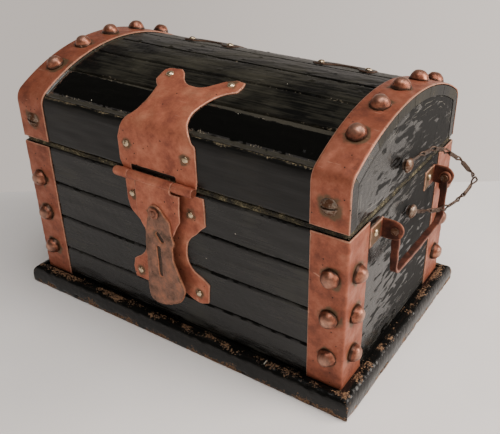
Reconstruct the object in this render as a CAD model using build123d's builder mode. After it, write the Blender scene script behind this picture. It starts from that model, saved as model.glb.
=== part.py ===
"""Table-top dome-lid trunk of black painted boards with hammered copper fittings.

Frame: X to the right, Y to the back, Z up, millimetres. The origin is on the table, under the
middle of the base. The lid is shut, the hasp and the two bail handles hang, and the chain stay
sags beside the right end. Everything is built in that position.
"""

import math
import os

from build123d import *

# ---------------------------------------------------------------- driving dimensions
BODY_WIDTH = 220.0  # over the copper, along X
BODY_DEPTH = 134.0  # over the copper, along Y
BASE_HEIGHT = 12.0
BASE_OVERHANG = 8.2  # moulding beyond the copper
BODY_TOP = 102.5  # top edge of the walls
LID_BOTTOM = 106.0  # bottom edge of the shut lid
LID_APEX = 152.3
DOME_RADIUS = 126.0  # outer face of the copper over the lid
SHOULDER_RADIUS = 9.0  # where the lid's front and back walls turn into the dome
SHEET = 0.8  # copper sheet
BOARD = 6.0  # wall boards, lid slats and lid ends
GAP = 0.3  # side clearance between knuckles
FIT = 0.05  # radial clearance of a pin in its knuckle

PLANK_JOINTS = (32.0, 55.5, 79.0)  # heights of the joints between wall planks
PLANK_CHAMFER = 0.7
SLAT_PITCH = 21.2  # along Y, between the joints on the dome
SHOULDER_JOINT = 30.6  # degrees from the apex to the joint in each shoulder
SLAT_GROOVE = 1.3  # side of the square that cuts each V groove
LEDGE_WIDTH = 2.5  # worn ledge between a slat's end and the strap
LEDGE_DEPTH = 0.8

STRAP_FRONT_LEG = 21.0
STRAP_SIDE_LEG = 22.0
STRAP_FOOT = 11.0  # the straps stop in the moulding's rebate
LID_STRAP_INNER = 88.5  # X of a lid strap's inner edge

STUD_RADIUS = 5.3
STUD_HEIGHT = 5.2
STUD_TIP = 2.9  # radius where the crown starts
STUD_CROWN = 0.7
STUD_HEIGHTS = (30.0, 55.0, 79.5)  # Z of the three studs on each leg
STUD_INSET_FRONT = 9.0  # from the corner, on the front and back legs
STUD_INSET_SIDE = 10.5  # from the corner, on the side legs
LID_STUD_Y = (-43.0, -19.0, 5.0, 29.0, 53.0)
LID_STUD_X = 99.0
SCREW_RADIUS = 4.7
SCREW_X = 98.5
SCREW_Z = 118.0
PIN_RADIUS = 1.75  # head of a small escutcheon pin
NAIL_LENGTH = 5.0  # every shank goes this far in
STUD_SHANK = 1.0
SCREW_SHANK = 1.3
PIN_SHANK = 0.6
DRILL_EASE = 0.02

BARREL_RADIUS = 2.8
BARREL_PIN = 1.2
HINGE_X = (-38.0, 55.0)  # centres of the two back hinges
HINGE_HALF = 16.0
HINGE_KNUCKLE = 5.2  # half the middle knuckle's length

EAR_FRONT_Y = -30.0
EAR_BACK_Y = 40.0
EAR_THICKNESS = 1.0
EAR_REACH = 12.2  # beyond the end board
EAR_HALF_HEIGHT = 5.5
BAIL_PIVOT_Z = 92.0
BAIL_OUT = 7.8  # pivot beyond the end board
BAIL_DROP = 27.5  # pivot to the middle of the grip
BAIL_THICK = 1.8
BAIL_WIDTH = 4.0
BAIL_BEND = 6.0

# ---------------------------------------------------------------- worked out from them
HALF_W = BODY_WIDTH / 2
HALF_D = BODY_DEPTH / 2
WOOD_W = HALF_W - SHEET  # X of the end boards' outer face
WOOD_D = HALF_D - SHEET  # Y of the planks' outer face
DOME_Z = LID_APEX - DOME_RADIUS
SHOULDER_Y = HALF_D - SHOULDER_RADIUS
SHOULDER_Z = DOME_Z + math.sqrt((DOME_RADIUS - SHOULDER_RADIUS) ** 2 - SHOULDER_Y**2)
SHOULDER_ANGLE = math.atan2(SHOULDER_Y, SHOULDER_Z - DOME_Z)
BARREL_Y = WOOD_D + BARREL_RADIUS  # barrels are rolled off the sheet's inner face
HINGE_Z = (BODY_TOP + LID_BOTTOM) / 2
HASP_Z = 103.6
BAIL_X = WOOD_W + BAIL_OUT

os.makedirs("parts", exist_ok=True)


def save(builder, name):
    """Label the finished piece and write its STEP file."""
    builder.part.label = name
    export_step(builder.part, f"parts/{name}.step")


def lid_point(angle, inset):
    """(Y, Z) on the lid's outline, at an angle in radians from the apex, moved in by inset."""
    direction = (math.sin(angle), math.cos(angle))
    if abs(angle) <= SHOULDER_ANGLE:
        reach = DOME_RADIUS - inset
    else:
        centre = (math.copysign(SHOULDER_Y, angle), SHOULDER_Z - DOME_Z)
        along = direction[0] * centre[0] + direction[1] * centre[1]
        radius = SHOULDER_RADIUS - inset
        reach = along + math.sqrt(along**2 - centre[0] ** 2 - centre[1] ** 2 + radius**2)
    return (reach * direction[0], DOME_Z + reach * direction[1])


def lid_section(inset, x):
    """The lid's closed section on the plane x, with the copper's outer face moved in by inset."""
    half = HALF_D - inset
    radius = SHOULDER_RADIUS - inset
    middle = (math.pi / 2 + SHOULDER_ANGLE) / 2
    knee = (SHOULDER_Y + radius * math.sin(middle), SHOULDER_Z + radius * math.cos(middle))
    tangent = lid_point(SHOULDER_ANGLE, inset)
    with BuildSketch(Plane.YZ.offset(x)) as section:
        with BuildLine():
            Line((half, SHOULDER_Z), (half, LID_BOTTOM))
            ThreePointArc((half, SHOULDER_Z), knee, tangent)
            ThreePointArc(tangent, (0, LID_APEX - inset), (-tangent[0], tangent[1]))
            ThreePointArc((-tangent[0], tangent[1]), (-knee[0], knee[1]), (-half, SHOULDER_Z))
            Line((-half, SHOULDER_Z), (-half, LID_BOTTOM))
            Line((-half, LID_BOTTOM), (half, LID_BOTTOM))
        make_face()
    return section.sketch


def lid_shell(outer, inner, x, length):
    """A lid-shaped band between two insets, from the plane x along +X."""
    with BuildPart() as shell:
        extrude(lid_section(outer, x), amount=length)
        extrude(lid_section(inner, x), amount=length, mode=Mode.SUBTRACT)
    return shell.part


def place(x, y, z, direction):
    """Location at a point with its Z axis along direction, for a fastener's head."""
    return Plane(origin=(x, y, z), z_dir=direction).location


def on_lid(x, y):
    """Location on the copper over the dome, with its Z axis square to the sheet."""
    angle = math.asin(y / DOME_RADIUS)
    height = DOME_Z + DOME_RADIUS * math.cos(angle)
    return place(x, y, height, (0, math.sin(angle), math.cos(angle)))


def drill(places, radius):
    """Cut a shank hole at each place from the piece being built."""
    with Locations(*places):
        Cylinder(radius + DRILL_EASE, 2 * NAIL_LENGTH, mode=Mode.SUBTRACT)


def crown(radius, base, rise):
    """Middle of a domed head's arc from (radius, base) to (0, base + rise), centred on the axis."""
    sphere = (radius**2 + rise**2) / (2 * rise)
    half = math.asin(radius / sphere) / 2
    return (sphere * math.sin(half), base + rise - sphere * (1 - math.cos(half)))


# ---------------------------------------------------------------- where the fasteners go
SIDES = (-1, 1)
STUD_X = HALF_W - STUD_INSET_FRONT
STUD_Y = HALF_D - STUD_INSET_SIDE
corners = [(sx, sy) for sx in SIDES for sy in SIDES]
wall_studs = [place(sx * STUD_X, sy * HALF_D, z, (0, sy, 0)) for sx, sy in corners for z in STUD_HEIGHTS]
end_studs = [place(sx * HALF_W, sy * STUD_Y, z, (sx, 0, 0)) for sx, sy in corners for z in STUD_HEIGHTS]
lid_studs = [on_lid(sx * LID_STUD_X, y) for sx in SIDES for y in LID_STUD_Y]
lid_screws = [place(sx * SCREW_X, sy * HALF_D, SCREW_Z, (0, sy, 0)) for sx, sy in corners]

hasp_lid_pins = [place(x, -HALF_D, 120.5, (0, -1, 0)) for x in (-24.4, 15.9)] + [
    on_lid(x, y) for x, y in ((-21.5, -30.0), (19.0, -29.0))
]
hasp_body_pins = [
    place(x, -HALF_D, z, (0, -1, 0)) for x, z in ((-24.1, 90.3), (16.8, 88.8), (-24.2, 38.3), (19.0, 38.0))
]
HINGE_HORN = 14.6
hinge_lid_pins = [on_lid(x + s * HINGE_HORN, 30.0) for x in HINGE_X for s in SIDES]
hinge_lid_pins += [place(x + s * 11.0, HALF_D, 118.0, (0, 1, 0)) for x in HINGE_X for s in SIDES]
hinge_body_pins = [
    place(x + s * 11.0, HALF_D, z, (0, 1, 0)) for x in HINGE_X for s in SIDES for z in (94.0, 69.0)
]
BRACKET_FRONT = (-43.5, EAR_FRONT_Y + EAR_THICKNESS / 2)  # Y range of a front bracket's foot
BRACKET_BACK = (26.5, EAR_BACK_Y + EAR_THICKNESS / 2)
bracket_pins = [place(s * HALF_W, y, 93.0, (s, 0, 0)) for s in SIDES for y in (-38.0, 31.5)]

# ---------------------------------------------------------------- the chain's ends and line
CHAIN_SCREW_LID = (HALF_W, -10.0, 118.5)
CHAIN_SCREW_BODY = (HALF_W, 2.5, 86.0)
CHAIN_APEX = (128.5, 60.0, 85.0)

# ================================================================ base
with BuildPart() as base_board:
    with Locations((0, 0, BASE_HEIGHT / 2)):
        Box(2 * WOOD_W, 2 * WOOD_D, BASE_HEIGHT)
save(base_board, "base_board")

MOULDING = BASE_OVERHANG + SHEET
REBATE = 2.4  # beside the walls, where the straps' feet stand
NOSE_TOP = 3.2
NOSE_BOTTOM = 4.6
NOSE_FULLNESS = 0.72  # how far towards the square corner the round nose swells
for name, outward, reach, span in (
    ("front", (0, -1, 0), WOOD_D, WOOD_W),
    ("back", (0, 1, 0), WOOD_D, WOOD_W),
    ("left", (-1, 0, 0), WOOD_W, WOOD_D),
    ("right", (1, 0, 0), WOOD_W, WOOD_D),
):
    out = Vector(*outward)
    along = out.cross(Vector(0, 0, 1))
    length = 2 * (span + MOULDING)
    section_plane = Plane(origin=out * reach - along * (length / 2), x_dir=out, z_dir=along)
    floor_plane = Plane(origin=out * reach, x_dir=along, z_dir=(0, 0, 1))
    with BuildPart() as moulding:
        with BuildSketch(section_plane):
            with BuildLine():
                nose = (
                    NOSE_TOP + NOSE_FULLNESS * (MOULDING - NOSE_TOP),
                    NOSE_BOTTOM + NOSE_FULLNESS * (BASE_HEIGHT - NOSE_BOTTOM),
                )
                Polyline(
                    (MOULDING, NOSE_BOTTOM),
                    (MOULDING, 0),
                    (0, 0),
                    (0, STRAP_FOOT),
                    (REBATE, STRAP_FOOT),
                )
                Polyline((REBATE, STRAP_FOOT), (REBATE, BASE_HEIGHT), (NOSE_TOP, BASE_HEIGHT))
                ThreePointArc((NOSE_TOP, BASE_HEIGHT), nose, (MOULDING, NOSE_BOTTOM))
            make_face()
        extrude(amount=length)
        # both ends are mitred at 45 degrees
        with BuildSketch(floor_plane):
            side = -1 if floor_plane.y_dir.dot(out) < 0 else 1
            with BuildLine():
                Polyline(
                    (-span, 0),
                    (span, 0),
                    (span + MOULDING, side * MOULDING),
                    (-span - MOULDING, side * MOULDING),
                    (-span, 0),
                )
            make_face()
        extrude(amount=BASE_HEIGHT, mode=Mode.INTERSECT)
    save(moulding, f"base_moulding_{name}")

# ================================================================ walls
STAPLE_X = -3.0
STAPLE_Z = (48.0, 62.0)
STAPLE_WIRE = 0.9
STAPLE_BEND = 2.2
STAPLE_CROWN = 4.2  # middle of the crown, out from the planks
staple_legs = [place(STAPLE_X, -WOOD_D, z, (0, -1, 0)) for z in STAPLE_Z]
chain_screw_body = place(*CHAIN_SCREW_BODY, (1, 0, 0))
chain_screw_lid = place(*CHAIN_SCREW_LID, (1, 0, 0))

for side, name in ((-1, "left"), (1, "right")):
    with BuildPart() as end_board:
        with Locations((side * (WOOD_W - BOARD / 2), 0, (BASE_HEIGHT + BODY_TOP) / 2)):
            Box(BOARD, 2 * (WOOD_D - BOARD), BODY_TOP - BASE_HEIGHT)
        drill(end_studs, STUD_SHANK)
        drill(bracket_pins, PIN_SHANK)
        drill([chain_screw_body], SCREW_SHANK)
    save(end_board, f"end_board_{name}")

levels = (BASE_HEIGHT, *PLANK_JOINTS, BODY_TOP)
for side, name in ((-1, "front"), (1, "back")):
    for number, (low, high) in enumerate(zip(levels, levels[1:]), start=1):
        with BuildPart() as plank:
            with Locations((0, side * (WOOD_D - BOARD / 2), (low + high) / 2)):
                Box(2 * WOOD_W, BOARD, high - low)
            faces_out = plank.edges().filter_by(Axis.X).group_by(Axis.Y)[-1 if side > 0 else 0]
            chamfer(faces_out, PLANK_CHAMFER)
            drill(wall_studs, STUD_SHANK)
            drill(hasp_body_pins + hinge_body_pins, PIN_SHANK)
            drill(staple_legs, STAPLE_WIRE)
        save(plank, f"{name}_plank_{number}")

# ================================================================ corner straps and their studs
for sx, across in ((-1, "left"), (1, "right")):
    for sy, depth in ((-1, "front"), (1, "back")):
        with BuildPart() as strap:
            with BuildSketch(Plane.XY.offset(STRAP_FOOT)):
                with BuildLine():
                    Polyline(
                        (sx * HALF_W, sy * HALF_D),
                        (sx * (HALF_W - STRAP_FRONT_LEG), sy * HALF_D),
                        (sx * (HALF_W - STRAP_FRONT_LEG), sy * WOOD_D),
                        (sx * WOOD_W, sy * WOOD_D),
                        (sx * WOOD_W, sy * (HALF_D - STRAP_SIDE_LEG)),
                        (sx * HALF_W, sy * (HALF_D - STRAP_SIDE_LEG)),
                        (sx * HALF_W, sy * HALF_D),
                    )
                make_face()
            extrude(amount=BODY_TOP - STRAP_FOOT)
            drill(wall_studs + end_studs, STUD_SHANK)
        save(strap, f"corner_strap_{depth}_{across}")

with BuildPart() as stud:
    with BuildSketch(Plane.XZ):
        with BuildLine():
            Polyline((0, -NAIL_LENGTH), (STUD_SHANK, -NAIL_LENGTH), (STUD_SHANK, 0), (STUD_RADIUS, 0))
            Polyline((STUD_RADIUS, 0), (STUD_RADIUS, 0.8), (4.5, 2.9), (STUD_TIP, STUD_HEIGHT - STUD_CROWN))
            ThreePointArc(
                (STUD_TIP, STUD_HEIGHT - STUD_CROWN),
                crown(STUD_TIP, STUD_HEIGHT - STUD_CROWN, STUD_CROWN),
                (0, STUD_HEIGHT),
            )
            Line((0, STUD_HEIGHT), (0, -NAIL_LENGTH))
        make_face()
    revolve(axis=Axis.Z)

with BuildPart() as corner_studs:
    with Locations(*wall_studs, *end_studs):
        add(stud.part)
save(corner_studs, "corner_studs")

# ================================================================ braid on the rim
BRAID_WIDTH = 4.5
BRAID_TOP = 105.6
with BuildPart() as rim_braid:
    with BuildSketch(Plane.XY.offset(BODY_TOP)):
        Rectangle(2 * WOOD_W - 0.6, 2 * WOOD_D - 0.6)
        Rectangle(2 * (WOOD_W - BRAID_WIDTH) - 0.6, 2 * (WOOD_D - BRAID_WIDTH) - 0.6, mode=Mode.SUBTRACT)
    extrude(amount=BRAID_TOP - BODY_TOP)
save(rim_braid, "rim_braid")

# ================================================================ lid woodwork
joint_angles = [-SHOULDER_JOINT]
joint_angles += [math.degrees(math.asin(i * SLAT_PITCH / DOME_RADIUS)) for i in (-2, -1, 0, 1, 2)]
joint_angles += [SHOULDER_JOINT]
groove_points = [lid_point(math.radians(angle), SHEET) for angle in joint_angles]
LID_WIDTH = 2 * WOOD_W
slat_stock = lid_shell(SHEET, SHEET + BOARD, -WOOD_W, LID_WIDTH)
FAR = 2 * DOME_RADIUS

with BuildPart() as ledges:
    for x in (-LID_STRAP_INNER, LID_STRAP_INNER - LEDGE_WIDTH):
        add(lid_shell(0, SHEET + LEDGE_DEPTH, x, LEDGE_WIDTH))

pieces = ["lid_front_rail", *(f"lid_slat_{i}" for i in range(1, 7)), "lid_back_rail"]
bounds = [-90.0, *joint_angles, 90.0]
for name, start, stop in zip(pieces, bounds, bounds[1:]):
    with BuildPart() as slat:
        add(slat_stock)
        with BuildSketch(Plane.YZ.offset(-WOOD_W)):
            with BuildLine():
                reach = [
                    (FAR * math.sin(math.radians(a)), DOME_Z + FAR * math.cos(math.radians(a)))
                    for a in (start, (start + stop) / 2, stop)
                ]
                Polyline((0, DOME_Z), *reach, (0, DOME_Z))
            make_face()
        extrude(amount=LID_WIDTH, mode=Mode.INTERSECT)
        with BuildSketch(Plane.YZ.offset(-WOOD_W)):
            with Locations(*groove_points):
                Rectangle(SLAT_GROOVE, SLAT_GROOVE, rotation=45)
        extrude(amount=LID_WIDTH, mode=Mode.SUBTRACT)
        if "slat" in name:
            add(ledges.part, mode=Mode.SUBTRACT)
        drill(lid_studs, STUD_SHANK)
        drill(lid_screws, SCREW_SHANK)
        drill(hasp_lid_pins + hinge_lid_pins, PIN_SHANK)
    save(slat, name)

for side, name in ((-1, "left"), (1, "right")):
    with BuildPart() as lid_end:
        extrude(lid_section(SHEET + BOARD, WOOD_W - BOARD if side > 0 else -WOOD_W), amount=BOARD)
        drill([chain_screw_lid], SCREW_SHANK)
    save(lid_end, f"lid_end_{name}")

# ================================================================ lid straps, studs and screws
STRAP_PROUD = 0.2  # the straps' edge stands this far past the end grain
for side, name in ((-1, "left"), (1, "right")):
    width = WOOD_W + STRAP_PROUD - LID_STRAP_INNER
    with BuildPart() as lid_strap:
        add(lid_shell(0, SHEET, LID_STRAP_INNER if side > 0 else -WOOD_W - STRAP_PROUD, width))
        drill(lid_studs, STUD_SHANK)
        drill(lid_screws, SCREW_SHANK)
    save(lid_strap, f"lid_strap_{name}")

with BuildPart() as lid_strap_studs:
    with Locations(*lid_studs):
        add(stud.part)
save(lid_strap_studs, "lid_strap_studs")

SCREW_HEIGHT = 2.1
SCREW_SLOT = 1.1
with BuildPart() as slotted_screw:
    with BuildSketch(Plane.XZ):
        with BuildLine():
            Polyline((0, -NAIL_LENGTH), (SCREW_SHANK, -NAIL_LENGTH), (SCREW_SHANK, 0), (SCREW_RADIUS, 0))
            Line((SCREW_RADIUS, 0), (SCREW_RADIUS, 0.5))
            ThreePointArc(
                (SCREW_RADIUS, 0.5), crown(SCREW_RADIUS, 0.5, SCREW_HEIGHT - 0.5), (0, SCREW_HEIGHT)
            )
            Line((0, SCREW_HEIGHT), (0, -NAIL_LENGTH))
        make_face()
    revolve(axis=Axis.Z)
    with Locations((0, 0, SCREW_HEIGHT)):
        Box(SCREW_SLOT, 3 * SCREW_RADIUS, 1.8, mode=Mode.SUBTRACT)

with BuildPart() as lid_strap_screws:
    with Locations(*lid_screws):
        add(slotted_screw.part)
save(lid_strap_screws, "lid_strap_screws")

PIN_HEIGHT = 1.15
with BuildPart() as escutcheon_pin:
    with BuildSketch(Plane.XZ):
        with BuildLine():
            Polyline((0, -NAIL_LENGTH), (PIN_SHANK, -NAIL_LENGTH), (PIN_SHANK, 0), (PIN_RADIUS, 0))
            ThreePointArc((PIN_RADIUS, 0), crown(PIN_RADIUS, 0, PIN_HEIGHT), (0, PIN_HEIGHT))
            Line((0, PIN_HEIGHT), (0, -NAIL_LENGTH))
        make_face()
    revolve(axis=Axis.Z)

with BuildPart() as chest_pins:
    with Locations(*hasp_body_pins, *hinge_body_pins, *bracket_pins):
        add(escutcheon_pin.part)
save(chest_pins, "chest_escutcheon_pins")

with BuildPart() as lid_pins:
    with Locations(*hasp_lid_pins, *hinge_lid_pins):
        add(escutcheon_pin.part)
save(lid_pins, "lid_escutcheon_pins")

# ================================================================ hasp
# The plates are hand-cut: their outlines run clockwise from the lower left.
HASP_LEFT = -30.5
HASP_RIGHT = 22.5
KNUCKLE = (-22.6, 7.8)  # X range of the leaf's knuckle; the lid plate's own are beside it
NOTCH_TOP = 108.8
BULB_END = -34.0
BARREL_END = 21.6
CUT_TOP = LID_APEX + 10
barrel_front = Plane(origin=(0, -BARREL_Y, HASP_Z), x_dir=(0, 1, 0), z_dir=(1, 0, 0))

with BuildPart() as hasp_lid_plate:
    # the part over the shoulder and the dome, cut to its outline from above
    add(lid_shell(0, SHEET, HASP_LEFT, HASP_RIGHT - HASP_LEFT))
    with BuildSketch(Plane.XY.offset(SHOULDER_Z)) as horns:
        with BuildLine():
            Line((HASP_LEFT, -HALF_D), (-27.8, -HALF_D))
            Spline((-27.8, -HALF_D), (-22.2, -58.5), (-20.8, -50.0), (-21.9, -41.0))
            Polyline(
                (-21.9, -41.0),
                (-26.8, -36.2),
                (-27.4, -26.6),
                (-25.6, -24.4),
                (-17.9, -23.4),
                (-14.2, -26.2),
            )
            Spline((-14.2, -26.2), (-9.6, -32.2), (-3.9, -35.6), (4.1, -35.2), (9.6, -31.0), (13.6, -26.4))
            Polyline((13.6, -26.4), (19.6, -23.4), (24.8, -24.3), (26.0, -28.5), (25.6, -33.0))
            Spline((25.6, -33.0), (19.1, -37.9), (14.4, -45.0), (11.6, -53.0), (13.4, -60.3), (18.9, -66.0))
            Polyline(
                (18.9, -66.0),
                (HASP_RIGHT, -HALF_D),
                (HASP_RIGHT, -HALF_D - 5),
                (HASP_LEFT, -HALF_D - 5),
            )
            Line((HASP_LEFT, -HALF_D - 5), (HASP_LEFT, -HALF_D))
        make_face()
    extrude(amount=CUT_TOP - SHOULDER_Z, mode=Mode.INTERSECT)
    # the flat part on the front rail, notched for the leaf's knuckle
    with BuildSketch(Plane.XZ.offset(WOOD_D)):
        with BuildLine():
            Polyline(
                (-27.8, SHOULDER_Z),
                (HASP_LEFT, SHOULDER_Z - 5),
                (HASP_LEFT, 110.0),
                (BULB_END + 5, HASP_Z),
                (KNUCKLE[0] - GAP, HASP_Z),
                (KNUCKLE[0] - GAP, NOTCH_TOP),
                (KNUCKLE[1] + GAP, NOTCH_TOP),
                (KNUCKLE[1] + GAP, HASP_Z),
                (BARREL_END, HASP_Z),
                (HASP_RIGHT, 110.0),
                (HASP_RIGHT, SHOULDER_Z),
                (-27.8, SHOULDER_Z),
            )
        make_face()
    extrude(amount=SHEET)
    # its two rolled knuckles, the left one closed with a round end
    for start, stop in ((BULB_END + BARREL_RADIUS, KNUCKLE[0] - GAP), (KNUCKLE[1] + GAP, BARREL_END)):
        with BuildSketch(barrel_front.offset(start)):
            Circle(BARREL_RADIUS)
        extrude(amount=stop - start)
    with Locations((BULB_END + BARREL_RADIUS, -BARREL_Y, HASP_Z)):
        Sphere(BARREL_RADIUS)
    with BuildSketch(barrel_front.offset(BULB_END + BARREL_RADIUS)):
        Circle(BARREL_PIN + FIT)
    extrude(amount=BARREL_END - BULB_END, mode=Mode.SUBTRACT)
    drill(hasp_lid_pins, PIN_SHANK)
save(hasp_lid_plate, "hasp_lid_plate")

with BuildPart() as hasp_pin:
    with BuildSketch(barrel_front.offset(BULB_END + BARREL_RADIUS + 0.1)):
        Circle(BARREL_PIN)
    extrude(amount=BARREL_END - BULB_END - BARREL_RADIUS - 1.5)
save(hasp_pin, "hasp_pin")

LEAF_FRONT = BARREL_Y + BARREL_RADIUS  # the leaf hangs from the front of the barrel
LEAF_SHEET = 0.9
LEAF_TOP = HASP_Z - BARREL_RADIUS - 0.4
RIVET_X = -3.6
RIVET_Z = 86.6
RIVET_SHANK = 1.4
RIVET_EASE = 0.08
with BuildPart() as hasp_leaf:
    with BuildSketch(Plane.XZ.offset(LEAF_FRONT - LEAF_SHEET)):
        with BuildLine():
            Polyline((-17.0, HASP_Z), (-17.0, LEAF_TOP), (-17.4, 84.5))
            Spline(
                (-17.4, 84.5),
                (-15.8, 78.5),
                (-12.6, 73.6),
                (-7.0, 70.0),
                (0.0, 69.6),
                (6.2, 73.0),
                (9.4, 78.6),
            )
            Polyline(
                (9.4, 78.6),
                (12.6, 84.4),
                (13.6, LEAF_TOP),
                (KNUCKLE[1], LEAF_TOP),
                (KNUCKLE[1], HASP_Z),
            )
            Line((KNUCKLE[1], HASP_Z), (-17.0, HASP_Z))
        make_face()
    extrude(amount=LEAF_SHEET)
    with BuildSketch(barrel_front.offset(KNUCKLE[0])):
        Circle(BARREL_RADIUS)
    extrude(amount=KNUCKLE[1] - KNUCKLE[0])
    with BuildSketch(barrel_front.offset(KNUCKLE[0])):
        Circle(BARREL_PIN + FIT)
    extrude(amount=KNUCKLE[1] - KNUCKLE[0], mode=Mode.SUBTRACT)
    with Locations(place(RIVET_X, -LEAF_FRONT, RIVET_Z, (0, -1, 0))):
        Cylinder(RIVET_SHANK + DRILL_EASE, 4 * LEAF_SHEET, mode=Mode.SUBTRACT)
save(hasp_leaf, "hasp_leaf")

TONGUE_SHEET = 1.4
TONGUE_EASE = 0.15
TONGUE_CHAMFER = 0.3
TONGUE_BACK = LEAF_FRONT + TONGUE_EASE
with BuildPart() as hasp_tongue:
    with BuildSketch(Plane.XZ.offset(TONGUE_BACK)):
        with BuildLine():
            Spline((-8.8, 84.6), (-7.6, 89.0), (-3.6, 91.2), (0.4, 89.2), (2.6, 86.6))
            Polyline(
                (2.6, 86.6),
                (6.4, 83.2),
                (6.9, 76.6),
                (8.6, 70.2),
                (7.0, 66.4),
                (6.8, 59.0),
                (10.6, 48.4),
            )
            Spline(
                (10.6, 48.4),
                (13.6, 40.6),
                (10.6, 32.4),
                (2.6, 27.0),
                (-6.0, 24.6),
                (-12.4, 26.8),
                (-13.8, 33.6),
            )
            Polyline((-13.8, 33.6), (-12.6, 52.0), (-12.4, 64.0), (-11.8, 70.5), (-8.8, 84.6))
        make_face()
        with Locations((RIVET_X, RIVET_Z)):
            Circle(RIVET_SHANK + RIVET_EASE, mode=Mode.SUBTRACT)
        with Locations((-1.4, 71.4)):
            SlotOverall(7.0, 3.0, rotation=-55, mode=Mode.SUBTRACT)
        with Locations((STAPLE_X, (STAPLE_Z[0] + STAPLE_Z[1]) / 2)):
            SlotOverall(STAPLE_Z[1] - STAPLE_Z[0] + 6.5, 2.6, rotation=90, mode=Mode.SUBTRACT)
    extrude(amount=TONGUE_SHEET)
    chamfer(hasp_tongue.faces().sort_by(Axis.Y)[0].outer_wire().edges(), TONGUE_CHAMFER)
save(hasp_tongue, "hasp_tongue")

RIVET_HEAD = 3.1
RIVET_EDGE = 0.5
RIVET_RISE = 1.0
with BuildPart() as rivet:
    with BuildSketch(Plane.XZ):
        grip = LEAF_SHEET + TONGUE_SHEET + 2 * TONGUE_EASE
        top = grip + RIVET_EDGE
        with BuildLine():
            Polyline((0, 0), (RIVET_SHANK, 0), (RIVET_SHANK, grip), (RIVET_HEAD, grip), (RIVET_HEAD, top))
            ThreePointArc((RIVET_HEAD, top), crown(RIVET_HEAD, top, RIVET_RISE), (0, top + RIVET_RISE))
            Line((0, top + RIVET_RISE), (0, 0))
        make_face()
    revolve(axis=Axis.Z)

with BuildPart() as hasp_rivet:
    with Locations(place(RIVET_X, -(LEAF_FRONT - LEAF_SHEET), RIVET_Z, (0, -1, 0))):
        add(rivet.part)
save(hasp_rivet, "hasp_rivet")

BODY_PLATE_TOP = 100.6
with BuildPart() as hasp_body_plate:
    with BuildSketch(Plane.XZ.offset(WOOD_D)):
        with BuildLine():
            Polyline((26.2, 84.0), (26.2, BODY_PLATE_TOP), (-28.2, BODY_PLATE_TOP), (-28.2, 86.0))
            Spline(
                (-28.2, 86.0),
                (-26.2, 79.4),
                (-18.6, 72.2),
                (-17.2, 64.0),
                (-18.4, 55.6),
                (-21.6, 50.6),
                (-28.4, 45.2),
            )
            Polyline((-28.4, 45.2), (-30.2, 39.4), (-28.8, 32.4), (-19.6, 32.2))
            Spline(
                (-19.6, 32.2),
                (-12.0, 35.6),
                (-2.0, 38.6),
                (8.0, 35.0),
                (14.0, 32.4),
                (19.8, 31.2),
                (25.4, 33.2),
            )
            Polyline((25.4, 33.2), (26.8, 46.0), (23.6, 48.4))
            Spline(
                (23.6, 48.4),
                (16.0, 52.6),
                (12.6, 58.6),
                (12.4, 65.6),
                (14.6, 71.8),
                (20.0, 77.6),
                (26.2, 84.0),
            )
        make_face()
    extrude(amount=SHEET)
    drill(hasp_body_pins, PIN_SHANK)
    drill(staple_legs, STAPLE_WIRE)
save(hasp_body_plate, "hasp_body_plate")

with BuildPart() as staple:
    tip = -WOOD_D + NAIL_LENGTH
    bridge = -WOOD_D - STAPLE_CROWN
    low, high = STAPLE_Z
    bends = [(STAPLE_X, tip, low), (STAPLE_X, bridge, low), (STAPLE_X, bridge, high), (STAPLE_X, tip, high)]
    with BuildLine():
        FilletPolyline(*bends, radius=STAPLE_BEND)
    with BuildSketch(Plane(origin=bends[0], z_dir=(0, -1, 0))):
        Circle(STAPLE_WIRE)
    sweep()
save(staple, "staple")

# ================================================================ back hinges
barrel_back = Plane(origin=(0, BARREL_Y, HINGE_Z), x_dir=(0, 1, 0), z_dir=(1, 0, 0))
LID_LEAF_CLEAR = 106.8  # the lid leaf stops here above the chest's knuckles
CHEST_LEAF_CLEAR = 101.7
outer_knuckles = ((-HINGE_HALF, -HINGE_KNUCKLE - GAP), (HINGE_KNUCKLE + GAP, HINGE_HALF))

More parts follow.
